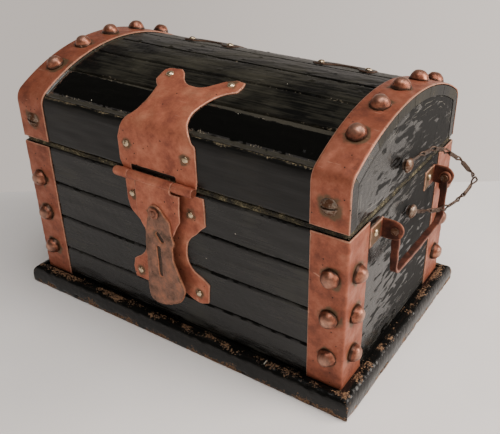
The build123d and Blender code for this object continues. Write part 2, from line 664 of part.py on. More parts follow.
for centre, name in zip(HINGE_X, ("left", "right")):
    with BuildPart() as lid_leaf:
        add(lid_shell(0, SHEET, centre - 20.0, 40.0))
        with BuildSketch(Plane.XY.offset(SHOULDER_Z)):
            with BuildLine():
                Polyline((centre, HALF_D + 5), (centre + 14.0, HALF_D + 5), (centre + 14.0, HALF_D))
                Spline(
                    (centre + 14.0, HALF_D),
                    (centre + 9.5, 56.0),
                    (centre + 9.5, 46.0),
                    (centre + 17.5, 35.5),
                )
                Polyline(
                    (centre + 17.5, 35.5),
                    (centre + 18.5, 27.0),
                    (centre + 16.0, 24.5),
                    (centre + 11.0, 26.0),
                )
                Spline(
                    (centre + 11.0, 26.0),
                    (centre + 6.5, 32.5),
                    (centre, 34.5),
                    tangents=((-0.6, 1), (-1, 0)),
                )
                Line((centre, 34.5), (centre, HALF_D + 5))
            make_face()
            mirror(about=Plane(origin=(centre, 0, 0), z_dir=(1, 0, 0)))
        extrude(amount=CUT_TOP - SHOULDER_Z, mode=Mode.INTERSECT)
        with BuildSketch(Plane.XZ.offset(-WOOD_D - SHEET)):
            with Locations((centre, (LID_LEAF_CLEAR + SHOULDER_Z) / 2)):
                Rectangle(28.0, SHOULDER_Z - LID_LEAF_CLEAR)
            with Locations((centre, (HINGE_Z + LID_LEAF_CLEAR) / 2)):
                Rectangle(2 * HINGE_KNUCKLE, LID_LEAF_CLEAR - HINGE_Z)
        extrude(amount=SHEET)
        with BuildSketch(barrel_back.offset(centre - HINGE_KNUCKLE)):
            Circle(BARREL_RADIUS)
        extrude(amount=2 * HINGE_KNUCKLE)
        with BuildSketch(barrel_back.offset(centre - HINGE_KNUCKLE)):
            Circle(BARREL_PIN + FIT)
        extrude(amount=2 * HINGE_KNUCKLE, mode=Mode.SUBTRACT)
        drill(hinge_lid_pins, PIN_SHANK)
    save(lid_leaf, f"hinge_leaf_lid_{name}")

    with BuildPart() as chest_leaf:
        with BuildSketch(Plane.XZ.offset(-WOOD_D - SHEET)):
            with BuildLine():
                Polyline(
                    (centre, CHEST_LEAF_CLEAR),
                    (centre + 14.0, CHEST_LEAF_CLEAR),
                    (centre + 14.0, 88.0),
                )
                Spline((centre + 14.0, 88.0), (centre + 9.5, 81.0), (centre + 15.0, 73.0))
                Polyline(
                    (centre + 15.0, 73.0),
                    (centre + 15.0, 64.0),
                    (centre, 67.0),
                    (centre, CHEST_LEAF_CLEAR),
                )
            make_face()
            mirror(about=Plane(origin=(centre, 0, 0), z_dir=(1, 0, 0)))
            for start, stop in outer_knuckles:
                with Locations((centre + (start + stop) / 2, (HINGE_Z + CHEST_LEAF_CLEAR) / 2)):
                    Rectangle(stop - start, HINGE_Z - CHEST_LEAF_CLEAR)
        extrude(amount=SHEET)
        for start, stop in outer_knuckles:
            with BuildSketch(barrel_back.offset(centre + start)):
                Circle(BARREL_RADIUS)
            extrude(amount=stop - start)
        with BuildSketch(barrel_back.offset(centre - HINGE_HALF)):
            Circle(BARREL_PIN + FIT)
        extrude(amount=2 * HINGE_HALF, mode=Mode.SUBTRACT)
        drill(hinge_body_pins, PIN_SHANK)
    save(chest_leaf, f"hinge_leaf_chest_{name}")

with BuildPart() as hinge_pins:
    for centre in HINGE_X:
        with BuildSketch(barrel_back.offset(centre - HINGE_HALF - 0.6)):
            Circle(BARREL_PIN)
        extrude(amount=2 * HINGE_HALF + 1.2)
save(hinge_pins, "hinge_pins")

# ================================================================ bail handles
EAR_BORE = 1.15
PIVOT_RADIUS = 1.1
BAIL_BORE = 1.18
BAIL_EYE = 3.2
for side, across in ((-1, "left"), (1, "right")):
    for ear_y, (foot_low, foot_high), depth in (
        (EAR_FRONT_Y, BRACKET_FRONT, "front"),
        (EAR_BACK_Y, BRACKET_BACK, "back"),
    ):
        with BuildPart() as bracket:
            foot_face = WOOD_W if side > 0 else -HALF_W
            with BuildSketch(Plane.YZ.offset(foot_face)):
                with Locations(((foot_low + foot_high) / 2, BAIL_PIVOT_Z)):
                    Rectangle(foot_high - foot_low, 2 * EAR_HALF_HEIGHT)
            extrude(amount=SHEET)
            with BuildSketch(Plane.XZ.offset(-ear_y - EAR_THICKNESS / 2)):
                with Locations((side * (WOOD_W + (EAR_REACH - EAR_HALF_HEIGHT) / 2), BAIL_PIVOT_Z)):
                    Rectangle(EAR_REACH - EAR_HALF_HEIGHT, 2 * EAR_HALF_HEIGHT)
                with Locations((side * (WOOD_W + EAR_REACH - EAR_HALF_HEIGHT), BAIL_PIVOT_Z)):
                    Circle(EAR_HALF_HEIGHT)
                with Locations((side * BAIL_X, BAIL_PIVOT_Z)):
                    Circle(EAR_BORE, mode=Mode.SUBTRACT)
            extrude(amount=EAR_THICKNESS)
            drill(bracket_pins, PIN_SHANK)
        save(bracket, f"handle_bracket_{across}_{depth}")

    front_arm = EAR_FRONT_Y + EAR_THICKNESS / 2 + GAP
    back_arm = EAR_BACK_Y - EAR_THICKNESS / 2 - GAP
    grip_low = BAIL_PIVOT_Z - BAIL_DROP - BAIL_THICK / 2
    with BuildPart() as bail:
        strip = Plane.YZ.offset(side * BAIL_X - BAIL_WIDTH / 2)
        with BuildSketch(strip) as loop:
            with BuildLine():
                Polyline(
                    (front_arm, BAIL_PIVOT_Z),
                    (front_arm, grip_low),
                    (back_arm, grip_low),
                    (back_arm, BAIL_PIVOT_Z),
                    (front_arm, BAIL_PIVOT_Z),
                )
            make_face()
            fillet(loop.vertices().group_by(Axis.Y)[0], BAIL_BEND)
        extrude(amount=BAIL_WIDTH)
        with BuildSketch(strip) as window:
            with BuildLine():
                Polyline(
                    (front_arm + BAIL_THICK, BAIL_PIVOT_Z),
                    (front_arm + BAIL_THICK, grip_low + BAIL_THICK),
                    (back_arm - BAIL_THICK, grip_low + BAIL_THICK),
                    (back_arm - BAIL_THICK, BAIL_PIVOT_Z),
                    (front_arm + BAIL_THICK, BAIL_PIVOT_Z),
                )
            make_face()
            fillet(window.vertices().group_by(Axis.Y)[0], BAIL_BEND - BAIL_THICK)
        extrude(amount=BAIL_WIDTH, mode=Mode.SUBTRACT)
        for start in (front_arm, back_arm - BAIL_THICK):
            with BuildSketch(Plane.XZ.offset(-start - BAIL_THICK)):
                with Locations((side * BAIL_X, BAIL_PIVOT_Z)):
                    Circle(BAIL_EYE)
            extrude(amount=BAIL_THICK)
            with BuildSketch(Plane.XZ.offset(-start - BAIL_THICK)):
                with Locations((side * BAIL_X, BAIL_PIVOT_Z)):
                    Circle(BAIL_BORE)
            extrude(amount=BAIL_THICK, mode=Mode.SUBTRACT)
    save(bail, f"bail_{across}")

PIVOT_HEAD = 2.0
PIVOT_HEAD_THICK = 0.9
with BuildPart() as handle_pivot_pins:
    for side in SIDES:
        for ear_y, inward in ((EAR_FRONT_Y, 1), (EAR_BACK_Y, -1)):
            outside = ear_y - inward * EAR_THICKNESS / 2
            length = EAR_THICKNESS + BAIL_THICK + 2 * GAP
            into_loop = Plane(origin=(side * BAIL_X, outside, BAIL_PIVOT_Z), z_dir=(0, inward, 0))
            with BuildSketch(into_loop):
                Circle(PIVOT_RADIUS)
            extrude(amount=length)
            with BuildSketch(into_loop.offset(-PIVOT_HEAD_THICK), into_loop.offset(length)):
                Circle(PIVOT_HEAD)
            extrude(amount=PIVOT_HEAD_THICK)
save(handle_pivot_pins, "handle_pivot_pins")

# ================================================================ chain stay
STAY_HEAD = 4.0
STAY_GAP = 2.2  # between the end board's copper line and the head, for the end link
STAY_RISE = 2.6
with BuildPart() as stay_screw:
    with BuildSketch(Plane.XZ):
        with BuildLine():
            Polyline(
                (0, -NAIL_LENGTH),
                (SCREW_SHANK, -NAIL_LENGTH),
                (SCREW_SHANK, STAY_GAP),
                (STAY_HEAD, STAY_GAP),
            )
            ThreePointArc(
                (STAY_HEAD, STAY_GAP), crown(STAY_HEAD, STAY_GAP, STAY_RISE), (0, STAY_GAP + STAY_RISE)
            )
            Line((0, STAY_GAP + STAY_RISE), (0, -NAIL_LENGTH))
        make_face()
    revolve(axis=Axis.Z)

with BuildPart() as chain_screw_on_chest:
    with Locations(chain_screw_body):
        add(stay_screw.part)
save(chain_screw_on_chest, "chain_screw_chest")

with BuildPart() as chain_screw_on_lid:
    with Locations(chain_screw_lid):
        add(stay_screw.part)
save(chain_screw_on_lid, "chain_screw_lid")

LINK_X = HALF_W + 1.1  # middle of an end link, between the board and the screw's head
LINK_THICK = 1.0
LINK_WIDTH = 3.2
PLATE_LENGTH = 8.6
RING_RADIUS = 2.0
RING_WIRE = 0.55
LINK_EASE = 0.25
END_EYE = 3.0
FIRST_PLATE = STAY_HEAD + 3 * LINK_EASE  # along the line, clear of the screw's head
CHAIN_LINES = {
    "chain_upper": (
        (LINK_X, CHAIN_SCREW_LID[1], CHAIN_SCREW_LID[2]),
        (113.0, 8.0, 117.5),
        (114.5, 28.0, 113.0),
        (121.0, 46.0, 101.0),
        (CHAIN_APEX[0] - 1.0, CHAIN_APEX[1] - 3.0, CHAIN_APEX[2] + 2.5),
    ),
    "chain_lower": (
        (LINK_X, CHAIN_SCREW_BODY[1], CHAIN_SCREW_BODY[2]),
        (115.0, 13.0, 81.5),
        (121.0, 30.0, 77.0),
        (126.0, 46.0, 79.0),
        CHAIN_APEX,
    ),
}

for name, points in CHAIN_LINES.items():
    with BuildLine(mode=Mode.PRIVATE) as chain_line:
        Spline(*points)
    line = chain_line.edges()[0]
    pitch = PLATE_LENGTH + 2 * (RING_RADIUS + RING_WIRE) + 2 * LINK_EASE
    spare = line.length - FIRST_PLATE
    count = int(spare / pitch)
    spread = spare / count / pitch
    steps = [FIRST_PLATE + spare * i / count for i in range(count)]
    plates = [line.location_at(s + spread * PLATE_LENGTH / 2, PositionMode.LENGTH) for s in steps]
    rings = [line.location_at(s + spread * (pitch + PLATE_LENGTH) / 2, PositionMode.LENGTH) for s in steps]
    with BuildPart() as chain:
        with BuildSketch(Plane(origin=points[0], z_dir=(1, 0, 0)).offset(-LINK_THICK / 2)):
            Circle(END_EYE)
            Circle(SCREW_SHANK + RIVET_EASE, mode=Mode.SUBTRACT)
        extrude(amount=LINK_THICK)
        with Locations(*plates):
            Box(LINK_WIDTH, LINK_THICK, PLATE_LENGTH)
        with Locations(*rings):
            Torus(RING_RADIUS, RING_WIRE, rotation=(0, 90, 0))
    save(chain, name)
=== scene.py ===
"""Table-top dome-lid trunk: black painted boards, hand-cut copper fittings and a braided rim.

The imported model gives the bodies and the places. Each sub-assembly is a class whose fields are its
sizes in millimetres and whose methods make its surfaces and give them their finish. A surface is a
function of two flat coordinates that is laid on a wall, round a corner or over the lid, so that a
board, a strap and a hinge leaf are all made by the same few lines. One metre is a thousand of the
units used here, and the change is made once, where a mesh is handed to Blender.
"""

from __future__ import annotations

import logging
import math
from collections.abc import Callable, Iterable, Sequence
from dataclasses import dataclass
from enum import Enum
from functools import partial, reduce
from operator import add as add_up

import bpy
import numpy as np
from mathutils import Matrix, Vector


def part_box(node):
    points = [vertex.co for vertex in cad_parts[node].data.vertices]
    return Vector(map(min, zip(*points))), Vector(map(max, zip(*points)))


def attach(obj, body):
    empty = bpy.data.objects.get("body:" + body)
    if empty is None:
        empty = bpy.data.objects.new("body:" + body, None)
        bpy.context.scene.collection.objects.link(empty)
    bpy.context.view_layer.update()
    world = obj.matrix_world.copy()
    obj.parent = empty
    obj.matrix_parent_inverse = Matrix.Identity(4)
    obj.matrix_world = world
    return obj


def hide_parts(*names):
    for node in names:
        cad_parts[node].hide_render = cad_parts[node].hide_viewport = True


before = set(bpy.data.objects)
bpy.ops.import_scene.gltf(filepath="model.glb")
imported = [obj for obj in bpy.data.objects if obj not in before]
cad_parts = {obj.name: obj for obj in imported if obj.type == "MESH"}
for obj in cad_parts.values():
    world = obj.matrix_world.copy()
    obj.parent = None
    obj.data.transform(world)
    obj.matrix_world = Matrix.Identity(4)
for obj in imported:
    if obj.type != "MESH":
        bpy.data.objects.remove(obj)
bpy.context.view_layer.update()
LOG = logging.getLogger("trunk")
MM = 0.001
SIDES = (-1, 1)
UP = np.array((0.0, 0.0, 1.0))
Array = np.ndarray
Wrap = Callable[[Array, Array, Array], Array]
Relief = Callable[[Array, Array], tuple[Array, Array]]


# ---- shared sizes, in millimetres
def span(node: str) -> tuple[Array, Array]:
    """Lowest and highest corner of a CAD node at rest, in millimetres."""
    low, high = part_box(node)
    return np.array(low) / MM, np.array(high) / MM


STRAP_LOW, STRAP_HIGH = span("corner_strap_front_right")
HALF_W = float(STRAP_HIGH[0])  # over the copper
HALF_D = float(-STRAP_LOW[1])
BODY_FOOT = float(STRAP_LOW[2])  # the straps stop in the moulding's rebate
BODY_TOP = float(STRAP_HIGH[2])
LID_BOTTOM = float(span("lid_front_rail")[0][2])
LID_APEX = float(span("lid_strap_right")[1][2])
BASE_TOP = float(span("base_board")[1][2])
SHEET = 0.8  # copper sheet
BOARD = 6.0  # wall boards, lid slats and lid ends
WOOD_W = HALF_W - SHEET
WOOD_D = HALF_D - SHEET
DOME = 126.0  # radius of the copper over the lid
SHOULDER = 9.0  # radius where the lid's walls turn into the dome
DOME_Z = LID_APEX - DOME
SHOULDER_Y = HALF_D - SHOULDER
SHOULDER_Z = DOME_Z + math.sqrt((DOME - SHOULDER) ** 2 - SHOULDER_Y**2)
SHOULDER_ANGLE = math.atan2(SHOULDER_Y, SHOULDER_Z - DOME_Z)
DOME_RUN = DOME * SHOULDER_ANGLE  # over the surface, from the apex to the shoulder
SHOULDER_RUN = SHOULDER * (math.pi / 2 - SHOULDER_ANGLE)
LID_RUN = DOME_RUN + SHOULDER_RUN + SHOULDER_Z - LID_BOTTOM  # from the apex to the lid's lower edge
FAR = 9.0  # stands for "nowhere near an edge or a nail"


class Side(Enum):
    """The four walls, each by the direction that it faces."""

    FRONT = (0.0, -1.0)
    BACK = (0.0, 1.0)
    LEFT = (-1.0, 0.0)
    RIGHT = (1.0, 0.0)

    @property
    def out(self) -> Array:
        """Unit vector away from the trunk."""
        return np.array((*self.value, 0.0))

    @property
    def along(self) -> Array:
        """Unit vector along the wall, so that along x up = out."""
        return np.cross(UP, self.out)

    @property
    def wood(self) -> float:
        """Reach of the wall's wood from the middle."""
        return WOOD_D if self.value[0] == 0 else WOOD_W


# ---- meshes
@dataclass
class Surface:
    """Points with their faces and the three things that the finishes read.

    Args:
        points: n x 3, millimetres.
        quads: four point numbers a row.
        tris: three point numbers a row.
        flat: n x 2, millimetres along and across the grain.
        edge: distance from a worn edge, or height on a nail's head, in millimetres.
        nail: distance from the nearest nail, in millimetres.
    """

    points: Array
    quads: Array
    tris: Array
    flat: Array
    edge: Array
    nail: Array

    def __add__(self, other: Surface) -> Surface:
        """Both surfaces as one."""
        shift = len(self.points)
        return Surface(
            np.concatenate([self.points, other.points]),
            np.concatenate([self.quads, other.quads + shift]),
            np.concatenate([self.tris, other.tris + shift]),
            np.concatenate([self.flat, other.flat]),
            np.concatenate([self.edge, other.edge]),
            np.concatenate([self.nail, other.nail]),
        )

    def build(self, name: str, material: bpy.types.Material, crease: float = 40.0) -> bpy.types.Object:
        """Hands the surface to Blender.

        Args:
            name: the piece's name.
            material: its finish.
            crease: faces that meet at more than this many degrees keep a sharp edge.

        Returns:
            The object, at the origin, with its place in its mesh.
        """
        mesh = bpy.data.meshes.new(name)
        mesh.from_pydata((self.points * MM).tolist(), [], self.quads.tolist() + self.tris.tolist())
        mesh.polygons.foreach_set("use_smooth", np.ones(len(mesh.polygons), bool))
        mesh.set_sharp_from_angle(angle=math.radians(crease))
        corner = np.empty(len(mesh.loops), np.int32)
        mesh.loops.foreach_get("vertex_index", corner)
        mesh.uv_layers.new(name="flat").data.foreach_set("uv", (self.flat[corner] * MM).ravel())
        for key, values in (("edge", self.edge), ("nail", self.nail)):
            mesh.attributes.new(key, "FLOAT", "POINT").data.foreach_set(
                "value", values.astype(np.float32)
            )
        mesh.materials.append(material)
        mesh.update()
        piece = bpy.data.objects.new(name, mesh)
        bpy.context.scene.collection.objects.link(piece)
        return piece


def joined(parts: Iterable[Surface]) -> Surface:
    """All the surfaces as one, in order."""
    return reduce(add_up, parts)


def surface(points: Array, quads: Array, tris: Array, **known: Array) -> Surface:
    """A surface whose unknown flat, edge and nail values are plain ones.

    Args:
        points: n x 3, millimetres.
        quads: four point numbers a row.
        tris: three point numbers a row.
        known: any of flat, edge and nail.

    Returns:
        The surface.
    """
    count = len(points)
    return Surface(
        points,
        quads.reshape(-1, 4),
        tris.reshape(-1, 3),
        known.get("flat", points[:, [0, 2]]),
        known.get("edge", np.full(count, FAR)),
        known.get("nail", np.full(count, FAR)),
    )


def grid_quads(rows: int, cols: int, round_rows: bool = False, round_cols: bool = False) -> Array:
    """Quads of a rows x cols grid, whose first and last lines are joined where it is round."""
    r = np.arange(rows if round_rows else rows - 1)[:, None]
    c = np.arange(cols if round_cols else cols - 1)[None, :]
    near, far, side = r * cols, (r + 1) % rows * cols, (c + 1) % cols
    return columns(near + c, near + side, far + side, far + c).reshape(-1, 4)


def columns(*values: Array | float) -> Array:
    """The values side by side along a new last axis, each repeated to the shape of the others."""
    return np.stack(np.broadcast_arrays(*values), -1)


def tube_faces(rows: int, cols: int) -> tuple[Array, Array]:
    """Quads round a tube of rows rings, and the triangles that close it.

    The first ring is closed by the point numbered next after the rings, and the last by the one
    after that.
    """
    c, total = np.arange(cols), rows * cols
    ahead, last = (c + 1) % cols, total - cols
    low = columns(total, ahead, c)
    top = columns(total + 1, last + c, last + ahead)
    return grid_quads(rows, cols, round_cols=True), np.concatenate([low, top])


def ripple(points: Array, size: float, seed: int) -> Array:
    """Smooth random waves, nearly all between -1 and 1.

    Formula: the sum of twelve sine waves of random direction and phase, with lengths near size.

    Args:
        points: n points in the plane or in space.
        size: usual length of a wave.
        seed: chooses the waves.

    Returns:
        A height for each point.
    """
    rng = np.random.default_rng(seed)
    ways = rng.normal(size=(12, points.shape[1]))
    ways *= 2 * math.pi / size * rng.uniform(0.6, 1.5, (12, 1)) / np.linalg.norm(
        ways, axis=1, keepdims=True
    )
    return np.sin(points @ ways.T + rng.uniform(0, 2 * math.pi, 12)).sum(1) / 4.0


def step(values: Array, low: float, high: float) -> Array:
    """Smooth step from 0 at low to 1 at high."""
    t = np.clip((values - low) / (high - low), 0, 1)
    return t * t * (3 - 2 * t)


def curve(*points: tuple[float, float], count: int = 7) -> Array:
    """Smooth line through points in the plane, without its last point.

    Formula: on each span a cubic whose slope at a point is half the step between its neighbours.

    Args:
        points: at least two places in the plane.
        count: points drawn on each span.

    Returns:
        The line, n x 2.
    """
    p = np.array(points, float)
    p = np.concatenate([[2 * p[0] - p[1]], p, [2 * p[-1] - p[-2]]])
    a, b, c, d = (q[:, None, :] for q in (p[:-3], p[1:-2], p[2:-1], p[3:]))
    t = (np.arange(count) / count)[None, :, None]
    line = b + 0.5 * t * (c - a + t * (2 * a - 5 * b + 4 * c - d + t * (3 * (b - c) + d - a)))
    return line.reshape(-1, 2)


def path(*stretches: Sequence[tuple[float, float]] | Array) -> Array:
    """Outline from stretches in order, each a list of corners or a smooth line."""
    return np.concatenate([np.asarray(s, float).reshape(-1, 2) for s in stretches])


def rectangle(low_u: float, high_u: float, low_v: float, high_v: float) -> Array:
    """Outline of a rectangle."""
    return path([(low_u, low_v), (high_u, low_v), (high_u, high_v), (low_u, high_v)])


def circle(u: float, v: float, radius: float, count: int = 20) -> Array:
    """Outline of a circle."""
    turn = np.arange(count) / count * 2 * math.pi
    return columns(u + radius * np.cos(turn), v + radius * np.sin(turn))


def slot_hole(u: float, v: float, length: float, width: float, turn: float) -> Array:
    """Outline of a slot with round ends.

    Args:
        u: its middle along the first axis.
        v: its middle along the second.
        length: from end to end.
        width: from side to side.
        turn: degrees from the first axis to its long way.

    Returns:
        The closed outline, 16 x 2.
    """
    half = np.linspace(-math.pi / 2, math.pi / 2, 8)
    cap = columns(length / 2 - width / 2 + width / 2 * np.cos(half), width / 2 * np.sin(half))
    c, s = math.cos(math.radians(turn)), math.sin(math.radians(turn))
    return np.concatenate([cap, -cap]) @ np.array([[c, s], [-s, c]]) + (u, v)


def edge_distance(points: Array, loops: list[Array]) -> tuple[Array, Array]:
    """How far points are from an outline with holes.

    Formula: the least distance to any straight run of the loops, negative where a level line from
    the point crosses the loops an odd number of times.

    Args:
        points: n x 2.
        loops: closed outlines, each k x 2.

    Returns:
        The signed distance, and the unit vector from the inside to the outside at the nearest edge.
    """
    start = np.concatenate(loops)
    run = np.concatenate([np.roll(loop, -1, 0) for loop in loops]) - start
    gap = points[:, None, :] - start[None]
    t = np.clip((gap * run).sum(-1) / np.maximum((run**2).sum(-1), 1e-12), 0, 1)
    off = gap - t[..., None] * run
    size = np.linalg.norm(off, axis=-1)
    best = size.argmin(1)
    row = np.arange(len(points))
    low, high = start[:, 1], start[:, 1] + run[:, 1]
    level = (low > points[:, 1:]) != (high > points[:, 1:])
    rise = np.where(run[:, 1] == 0, 1.0, run[:, 1])
    right = points[:, :1] < start[:, 0] + (points[:, 1:] - low) / rise * run[:, 0]
    inside = (level & right).sum(1) % 2 == 1
    sign = np.where(inside, -1.0, 1.0)
    near = np.maximum(size[row, best], 1e-9)
    return sign * near, off[row, best] * (sign / near)[:, None]


def plain_relief(points: Array, depth: Array) -> tuple[Array, Array]:
    """A flat face, worn along its outline."""
    return np.zeros(len(points)), depth


def brushed(seed: int, size: float, height: float, lift: float) -> Relief:
    """Brush furrows that slant over an end board, and blobs of paint.

    Args:
        seed: chooses the furrows and the blobs.
        size: width of a blob.
        height: how far the blobs stand up.
        lift: height of the face.
    """

    def relief(at: Array, depth: Array) -> tuple[Array, Array]:
        """Height of the furrows and blobs."""
        furrows = 0.03 * ripple(at @ np.array([[0.5, 0.9], [-0.7, 1.6]]), 5.0, seed)
        return furrows + height * np.clip(ripple(at, size, seed + 3) - 0.8, 0, 1) + lift, depth

    return relief


@dataclass
class Sheet:
    """A board or a piece of sheet metal: a flat outline laid on a wall, a bend or the lid.

    Args:
        loops: the outline and its holes, in flat coordinates.
        wrap: gives the place of flat coordinates and a height over the face.
        thick: thickness of the sheet below its face.
        cell: side of the grid's squares.
        wobble: how far the hand-cut edge wanders, over waves of length wave.
        rim: radius of the worn edge.
        hammer: height of the dents, over waves of length dent.
        relief: gives the face's height and its distance from a worn edge.
        nails: flat places of the nails in it.
        seed: chooses the waves.
    """

    loops: list[Array]
    wrap: Wrap
    thick: float = SHEET
    cell: float = 0.6
    wobble: float = 0.22
    wave: float = 11.0
    rim: float = 0.3
    hammer: float = 0.07
    dent: float = 7.0
    relief: Relief = plain_relief
    nails: Array | None = None
    seed: int = 1

    def make(self) -> Surface:
        """Cuts the sheet out of a grid of squares.

        Formula: the grid's points within half a cell of the outline are moved onto it; a square
        with all corners inside is kept whole and one with three inside as a triangle. The back is
        the same grid below the face, and each free edge of the face is walled down to the back.
        """
        low, high = self.loops[0].min(0), self.loops[0].max(0)
        count = np.maximum(np.round((high - low) / self.cell).astype(int), 2)
        lines = [
            lo + (hi - lo) * np.arange(-1, n + 2) / n for lo, hi, n in zip(low, high, count)
        ]
        u, v = np.meshgrid(*lines, indexing="ij")
        rows, cols = u.shape
        at = columns(u.ravel(), v.ravel())
        away, out = edge_distance(at, self.loops)
        away = away + self.wobble * ripple(at, self.wave, self.seed)
        close = np.abs(away) < 0.52 * self.cell
        at[close] -= away[close, None] * out[close]
        away[close] = 0.0
        cells = grid_quads(rows, cols)[:, ::-1]
        kept = (away <= 0)[cells]
        quads = cells[kept.all(1)]
        three = kept.sum(1) == 3
        missing = kept[three].argmin(1)
        ring = (missing[:, None] + np.arange(1, 4)) % 4
        tris = np.take_along_axis(cells[three], ring, 1)
        used = np.unique(np.concatenate([quads.ravel(), tris.ravel()]))
        number = np.zeros(len(at), int)
        number[used] = np.arange(len(used))
        at, depth, quads, tris = at[used], -away[used], number[quads], number[tris]
        height, edge = self.relief(at, depth)
        round_off = np.clip(self.rim - depth, 0, self.rim)
        height = height - (self.rim - np.sqrt(self.rim**2 - round_off**2))
        height = height + self.hammer * ripple(at, self.dent, self.seed + 50) * step(depth, 0, 1.5)
        face = self.wrap(at[:, 0], at[:, 1], height)
        back = self.wrap(at[:, 0], at[:, 1], np.full(len(at), -self.thick))
        walls = self.free_edges(quads, tris)
        total = len(at)
        walls = columns(walls[:, 1], walls[:, 0], walls[:, 0] + total, walls[:, 1] + total)
        nail = np.full(total, FAR)
        if self.nails is not None:
            nail = np.linalg.norm(at[:, None] - self.nails[None], axis=-1).min(1)
        return Surface(
            np.concatenate([face, back]),
            np.concatenate([quads, quads[:, ::-1] + total, walls]),
            np.concatenate([tris, tris[:, ::-1] + total]),
            np.tile(at, (2, 1)),
            np.tile(np.minimum(edge, FAR), 2),
            np.tile(np.minimum(nail, FAR), 2),
        )

    @staticmethod
    def free_edges(quads: Array, tris: Array) -> Array:
        """Edges that only one face has, in that face's direction."""
        pairs = [
            columns(f[:, i], f[:, (i + 1) % f.shape[1]]) for f in (quads, tris) for i in range(f.shape[1])
        ]
        pairs = np.concatenate(pairs)
        big = pairs.max() + 1
        there, back = pairs[:, 0] * big + pairs[:, 1], pairs[:, 1] * big + pairs[:, 0]
        return pairs[~np.isin(there, back)]


def upright(start: Sequence[float], along: Sequence[float], out: Sequence[float]) -> Wrap:
    """Lays flat (along, height) on an upright plane.

    Args:
        start: the place of flat (0, 0).
        along: the way of the first flat coordinate.
        out: the way of a height over the face.

    Returns:
        What gives points for two flat coordinates and a height.
    """

    def wrap(u: Array, v: Array, h: Array) -> Array:
        """Start plus the three coordinates, each along its own way."""
        return np.array(start) + np.outer(u, along) + np.outer(v, UP) + np.outer(h, out)

    return wrap


def board(loop: Array, wrap: Wrap, cell: float, rim: float, relief: Relief, seed: int) -> Surface:
    """A sawn board.

    Args:
        loop: its outline, in flat coordinates.
        wrap: lays it in its place.
        cell: side of the grid's squares.
        rim: radius of its worn edge.
        relief: gives the face's height and its distance from a worn edge.
        seed: chooses the waves.

    Returns:
        The board's surface.
    """
    return Sheet(
        [loop], wrap, BOARD, cell=cell, wobble=0.0, rim=rim, hammer=0.0, relief=relief, seed=seed
    ).make()


def on_wall(side: Side, reach: float) -> Wrap:
    """Lays flat (along, height) on a wall at a reach from the middle."""
    return upright(reach * side.out, side.along, side.out)


def over_lid(lift: float = 0.0) -> Wrap:
    """Lays flat (x, run from the apex) over the lid, where the run is negative towards the front.

    Formula: an arc about the dome's middle as far as the shoulder, then an arc about the
    shoulder's middle, then straight down.
    """

    def wrap(u: Array, v: Array, h: Array) -> Array:
        """Points over the lid."""
        run = np.abs(v)
        bend = SHOULDER_ANGLE + (run - DOME_RUN) / SHOULDER
        angle = np.where(run <= DOME_RUN, run / DOME, np.minimum(bend, math.pi / 2))
        on_dome = run <= DOME_RUN
        radius = np.where(on_dome, DOME, SHOULDER) + h + lift
        y = np.where(on_dome, 0.0, SHOULDER_Y) + radius * np.sin(angle)
        z = np.where(on_dome, DOME_Z, SHOULDER_Z) + radius * np.cos(angle)
        z = z - np.maximum(run - DOME_RUN - SHOULDER_RUN, 0.0)
        return columns(u, np.sign(v) * y, z)

    return wrap


def lid_run(y: float) -> float:
    """Run over the lid from the apex to the place above y."""
    if abs(y) <= DOME * math.sin(SHOULDER_ANGLE):
        return DOME * math.asin(y / DOME)
    turn = math.asin(min((abs(y) - SHOULDER_Y) / SHOULDER, 1.0)) - SHOULDER_ANGLE
    return math.copysign(DOME_RUN + SHOULDER * turn, y)


def wall_run(z: float) -> float:
    """Run from the apex down the lid's straight wall to the height z."""
    return DOME_RUN + SHOULDER_RUN + SHOULDER_Z - z


def frames_of(normals: Array, seed: int) -> tuple[Array, Array]:
    """Two unit vectors square to each normal, turned about it at random.

    Args:
        normals: m x 3 unit vectors.
        seed: chooses the turns.

    Returns:
        Both sets of vectors, each m x 3.
    """
    rng = np.random.default_rng(seed)
    helper = np.where(np.abs(normals[:, 2:]) > 0.9, np.array((1.0, 0, 0)), UP)
    first = np.cross(normals, helper)
    first /= np.linalg.norm(first, axis=1, keepdims=True)
    second = np.cross(normals, first)
    turn = rng.uniform(0, 2 * math.pi, (len(normals), 1))
    return first * np.cos(turn) + second * np.sin(turn), second * np.cos(turn) - first * np.sin(turn)


